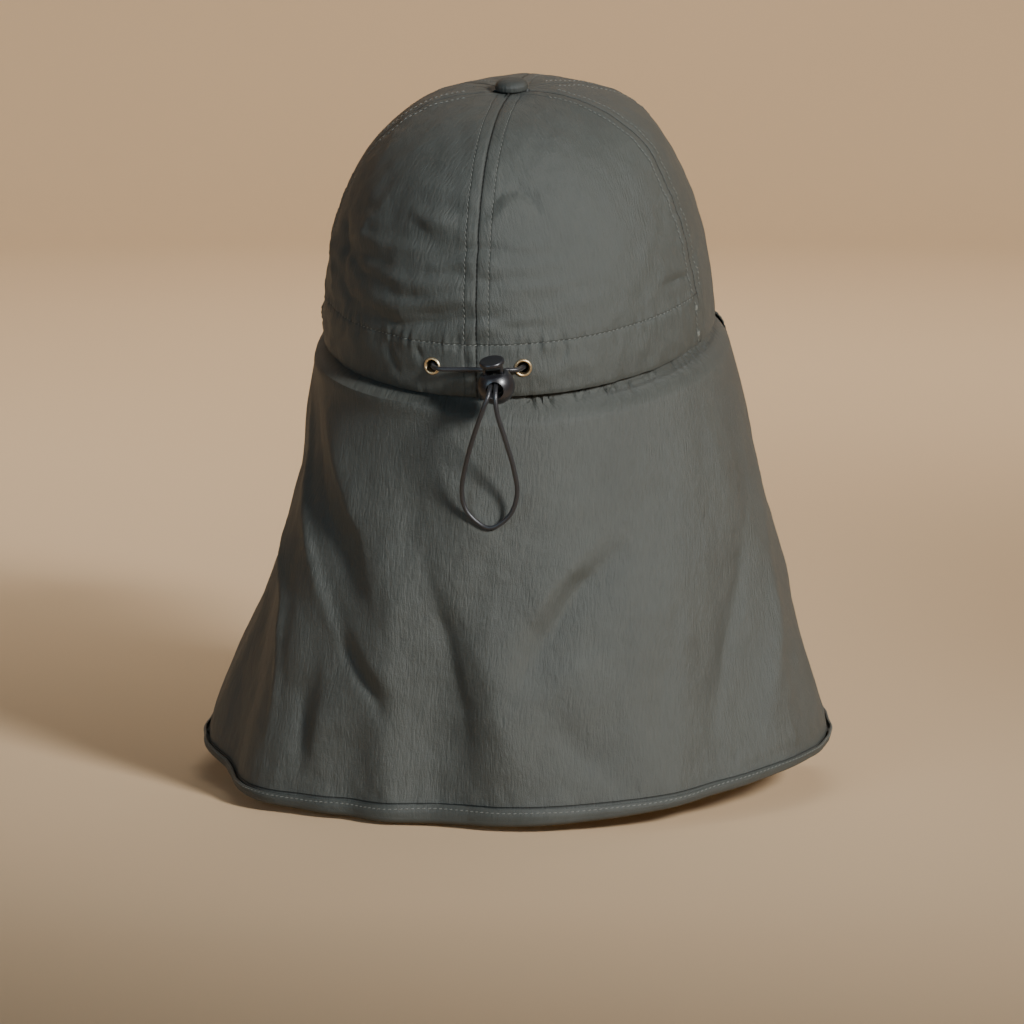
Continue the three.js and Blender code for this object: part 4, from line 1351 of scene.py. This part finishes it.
# %% [markdown]
# ## Button, tunnel strip and peak
#
# The button is a small disc covered in the same cloth, drawn in under its edge in tiny pleats.
# Inside, a strip of cloth closes the cord's tunnel. The peak is a curved board covered in the
# cloth, with rows of stitches that follow its edge.

# %% Button
button_radius = 7
button_height = 4.8


def covered_button():
    rings, around = 34, 120
    share = np.linspace(0, 1, rings)[:, None]
    angle = np.linspace(0, 2 * math.pi, around, endpoint=False)[None, :]
    bend = share * math.pi * 0.5
    radius = button_radius * np.clip(1.02 * np.cos(bend) ** 0.55, 0, 1)
    up = 0.9 + (button_height - 0.9) * np.sin(bend) ** 0.9
    pleats = rough_2d(np.cos(angle) * 9, np.sin(angle) * 9, 31.0) * smooth(1 - share, 0.45, 1) * 0.45
    radius = radius + pleats * 0.6
    up = up + rough_2d(np.cos(angle) * radius / 3, np.sin(angle) * radius / 3, 33.0) * 0.12
    grid = np.stack([radius * np.cos(angle), radius * np.sin(angle), up + 0 * angle], -1)
    under = np.stack([(button_radius - 0.9) * np.cos(angle[0]), (button_radius - 0.9) * np.sin(angle[0]),
                      0 * angle[0]], -1)
    skirt = np.stack([(button_radius - 0.1) * np.cos(angle[0]), (button_radius - 0.1) * np.sin(angle[0]),
                      0 * angle[0] + 0.25], -1)
    grid = np.concatenate([under[None], skirt[None], grid[:-1]])
    count = len(grid)
    faces = tube_quads(count, around)
    points = grid.reshape(-1, 3).tolist()
    points += [[0, 0, 0], [0, 0, float(up[-1].mean())]]
    low, high = len(points) - 2, len(points) - 1
    for j in range(around):
        n = (j + 1) % around
        faces.append([low, n, j])
        faces.append([high, (count - 1) * around + j, (count - 1) * around + n])
    points = np.array(points)
    uv = points[:, :2].copy()
    points[:, 2] += crown_height + gap
    made = mesh_piece("button_cover", leaned(points), faces, button_cloth_painted_shade, uv=uv, sharp=180)
    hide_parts("button")
    print("button", len(points), "points")


covered_button()

# %% Tunnel strip
facing_cloth_thickness = 0.9
facing_end = 75


def tunnel_strip():
    room = cord_diameter + 2
    bow_from = flap_tuck + 4 * gap
    height = np.linspace(gap, channel_height - gap, 26)[:, None]
    share = np.clip((height - bow_from) / (channel_height - gap - bow_from), 0, 1)
    bow = room * np.minimum(1, 1.5 * np.sin(np.pi * share)) * smooth(share, 0, 0.06)
    turn = np.linspace(facing_end, -facing_end, 200)[None, :]
    rise = rise_at(height)
    skin = crown_skin(turn, rise)
    out = normals_of(skin)
    wave = rough_2d(turn / 3.0, height / 20.0, 41.0) * 0.15
    depth = crown_cloth + 2 * gap + bow - wave * (bow > 0.5)
    outer = skin - out * depth[..., None]
    strip = cloth_piece("tunnel_strip", leaned(outer), facing_cloth_thickness, facing_cloth)
    width, length, area = cut_of(outer)
    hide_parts("channel_facing")
    print(f"strip {width * 1000:.0f} x {length * 1000:.0f} mm")


tunnel_strip()

# %% Peak
peak_length = 68
peak_thickness = 3
peak_side = 123
peak_lap = 3
peak_end_length = 8
peak_edge_power = 0.75
peak_spread = 0.22
peak_drop = 14
peak_camber = 17
peak_rows = [1 - (0.06 + 0.17 * row) for row in range(5)]


def peak_surface(side, out, lift=0.0):
    """side runs from -1 to 1 across the peak, out from 0 at the rim to 1 at its edge."""
    side, out = np.broadcast_arrays(np.asarray(side, float), np.asarray(out, float))
    turn = np.radians(180 + (180 - peak_side) * side)
    reach = peak_end_length + (peak_length - peak_end_length) * np.maximum(1 - side**2, 0) ** peak_edge_power
    lap = np.where(out < 0, peak_lap, 0)
    past = np.maximum(out, 0)
    share = past * reach / peak_length
    drop = peak_drop * share + peak_camber * past * side**2
    return np.stack([
        (crown_half_width - lap) * np.sin(turn) * (1 + peak_spread * share),
        (crown_half_length - lap) * np.cos(turn) - reach * past,
        -gap - drop + lift,
    ], -1)


def covered_peak():
    side = np.linspace(-1, 1, 141)[None, :]
    out = np.concatenate([[-1], np.linspace(0, 1, 46)])[:, None]
    flat = peak_surface(side, out)
    relief = 0.0
    for place in peak_rows:
        relief = relief - 0.22 * bell(out, place, 0.012)
    relief = relief + 0.3 * rough(flat, 30.0, 51.0) + 0.12 * rough(flat, 8.0, 55.0)
    relief = relief * smooth(out, 0, 0.05) * smooth(1 - out, 0.0, 0.02)
    top = flat.copy()
    top[..., 2] += relief
    under = flat.copy()
    under[..., 2] -= peak_thickness + relief
    columns = top.shape[1]
    edge = np.stack([flat[-1] + [0, -0.9, -peak_thickness * s] for s in (0.22, 0.5, 0.78)])
    grid = np.concatenate([top, edge, under[::-1]])
    count = len(grid)
    faces = quads(count, columns).tolist()
    for column, flip in ((0, False), (columns - 1, True)):
        ring = [r * columns + column for r in range(count)]
        for r in range(count // 2 - 1):
            face = [ring[r], ring[r + 1], ring[count - 2 - r], ring[count - 1 - r]]
            faces.append(face if flip else face[::-1])
    back = [list(range(columns)), [(count - 1) * columns + c for c in range(columns)]]
    for c in range(columns - 1):
        faces.append([back[0][c], back[1][c], back[1][c + 1], back[0][c + 1]])
    made = mesh_piece("covered_peak", leaned(grid.reshape(-1, 3)), faces, shell_cloth,
                      uv=grid.reshape(-1, 3)[:, :2], sharp=50)
    bm = bmesh.new()
    bm.from_mesh(made.data)
    bmesh.ops.recalc_face_normals(bm, faces=bm.faces[:])
    bm.to_mesh(made.data)
    bm.free()
    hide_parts("peak")
    lines = []
    for place in peak_rows:
        across = np.linspace(-0.985, 0.985, 500)
        line = peak_surface(across, place + 0 * across, -0.2)
        lines.append((leaned(line), leaned(np.tile([0, 0, 1.0], (500, 1)))))
    stitch_piece("peak_stitches", lines)
    print("peak", len(grid.reshape(-1, 3)), "points")


covered_peak()

# %% [markdown]
# ## Room
#
# The cap stands over a round bowl of pale paper: floor, cove and wall are one turned surface,
# far enough away for a camera on any side.

# %% Room
def paper_room(floor_height):
    floor_radius, cove, wall = 2.7, 0.9, 3.2
    profile = [(0.0, floor_height), (floor_radius, floor_height)]
    profile += [(floor_radius + cove * math.sin(a), floor_height + cove * (1 - math.cos(a)))
                for a in np.linspace(0.1, math.pi / 2, 12)]
    profile += [(floor_radius + cove, floor_height + wall)]
    room = lathe_solid("paper_room", profile, 96)
    room.data.polygons.foreach_set("use_smooth", [True] * len(room.data.polygons))
    bm = bmesh.new()
    bm.from_mesh(room.data)
    bmesh.ops.reverse_faces(bm, faces=bm.faces[:])
    bm.to_mesh(room.data)
    bm.free()
    paper = Finish("warm_paper", Specular_IOR_Level=0.2)
    place = paper.node("ShaderNodeTexCoord", None, None, 3)
    cloud = paper.noise(place, (1.1, 1.1, 1.1), 2.0, 0.5)
    paper.set(
        Base_Color=paper.mix(cloud, (0.55, 0.39, 0.235, 1), (0.6, 0.43, 0.262, 1)),
        Roughness=0.85 + cloud * 0.1,
    )
    room.data.materials.append(paper.material)


paper_room(-0.2)
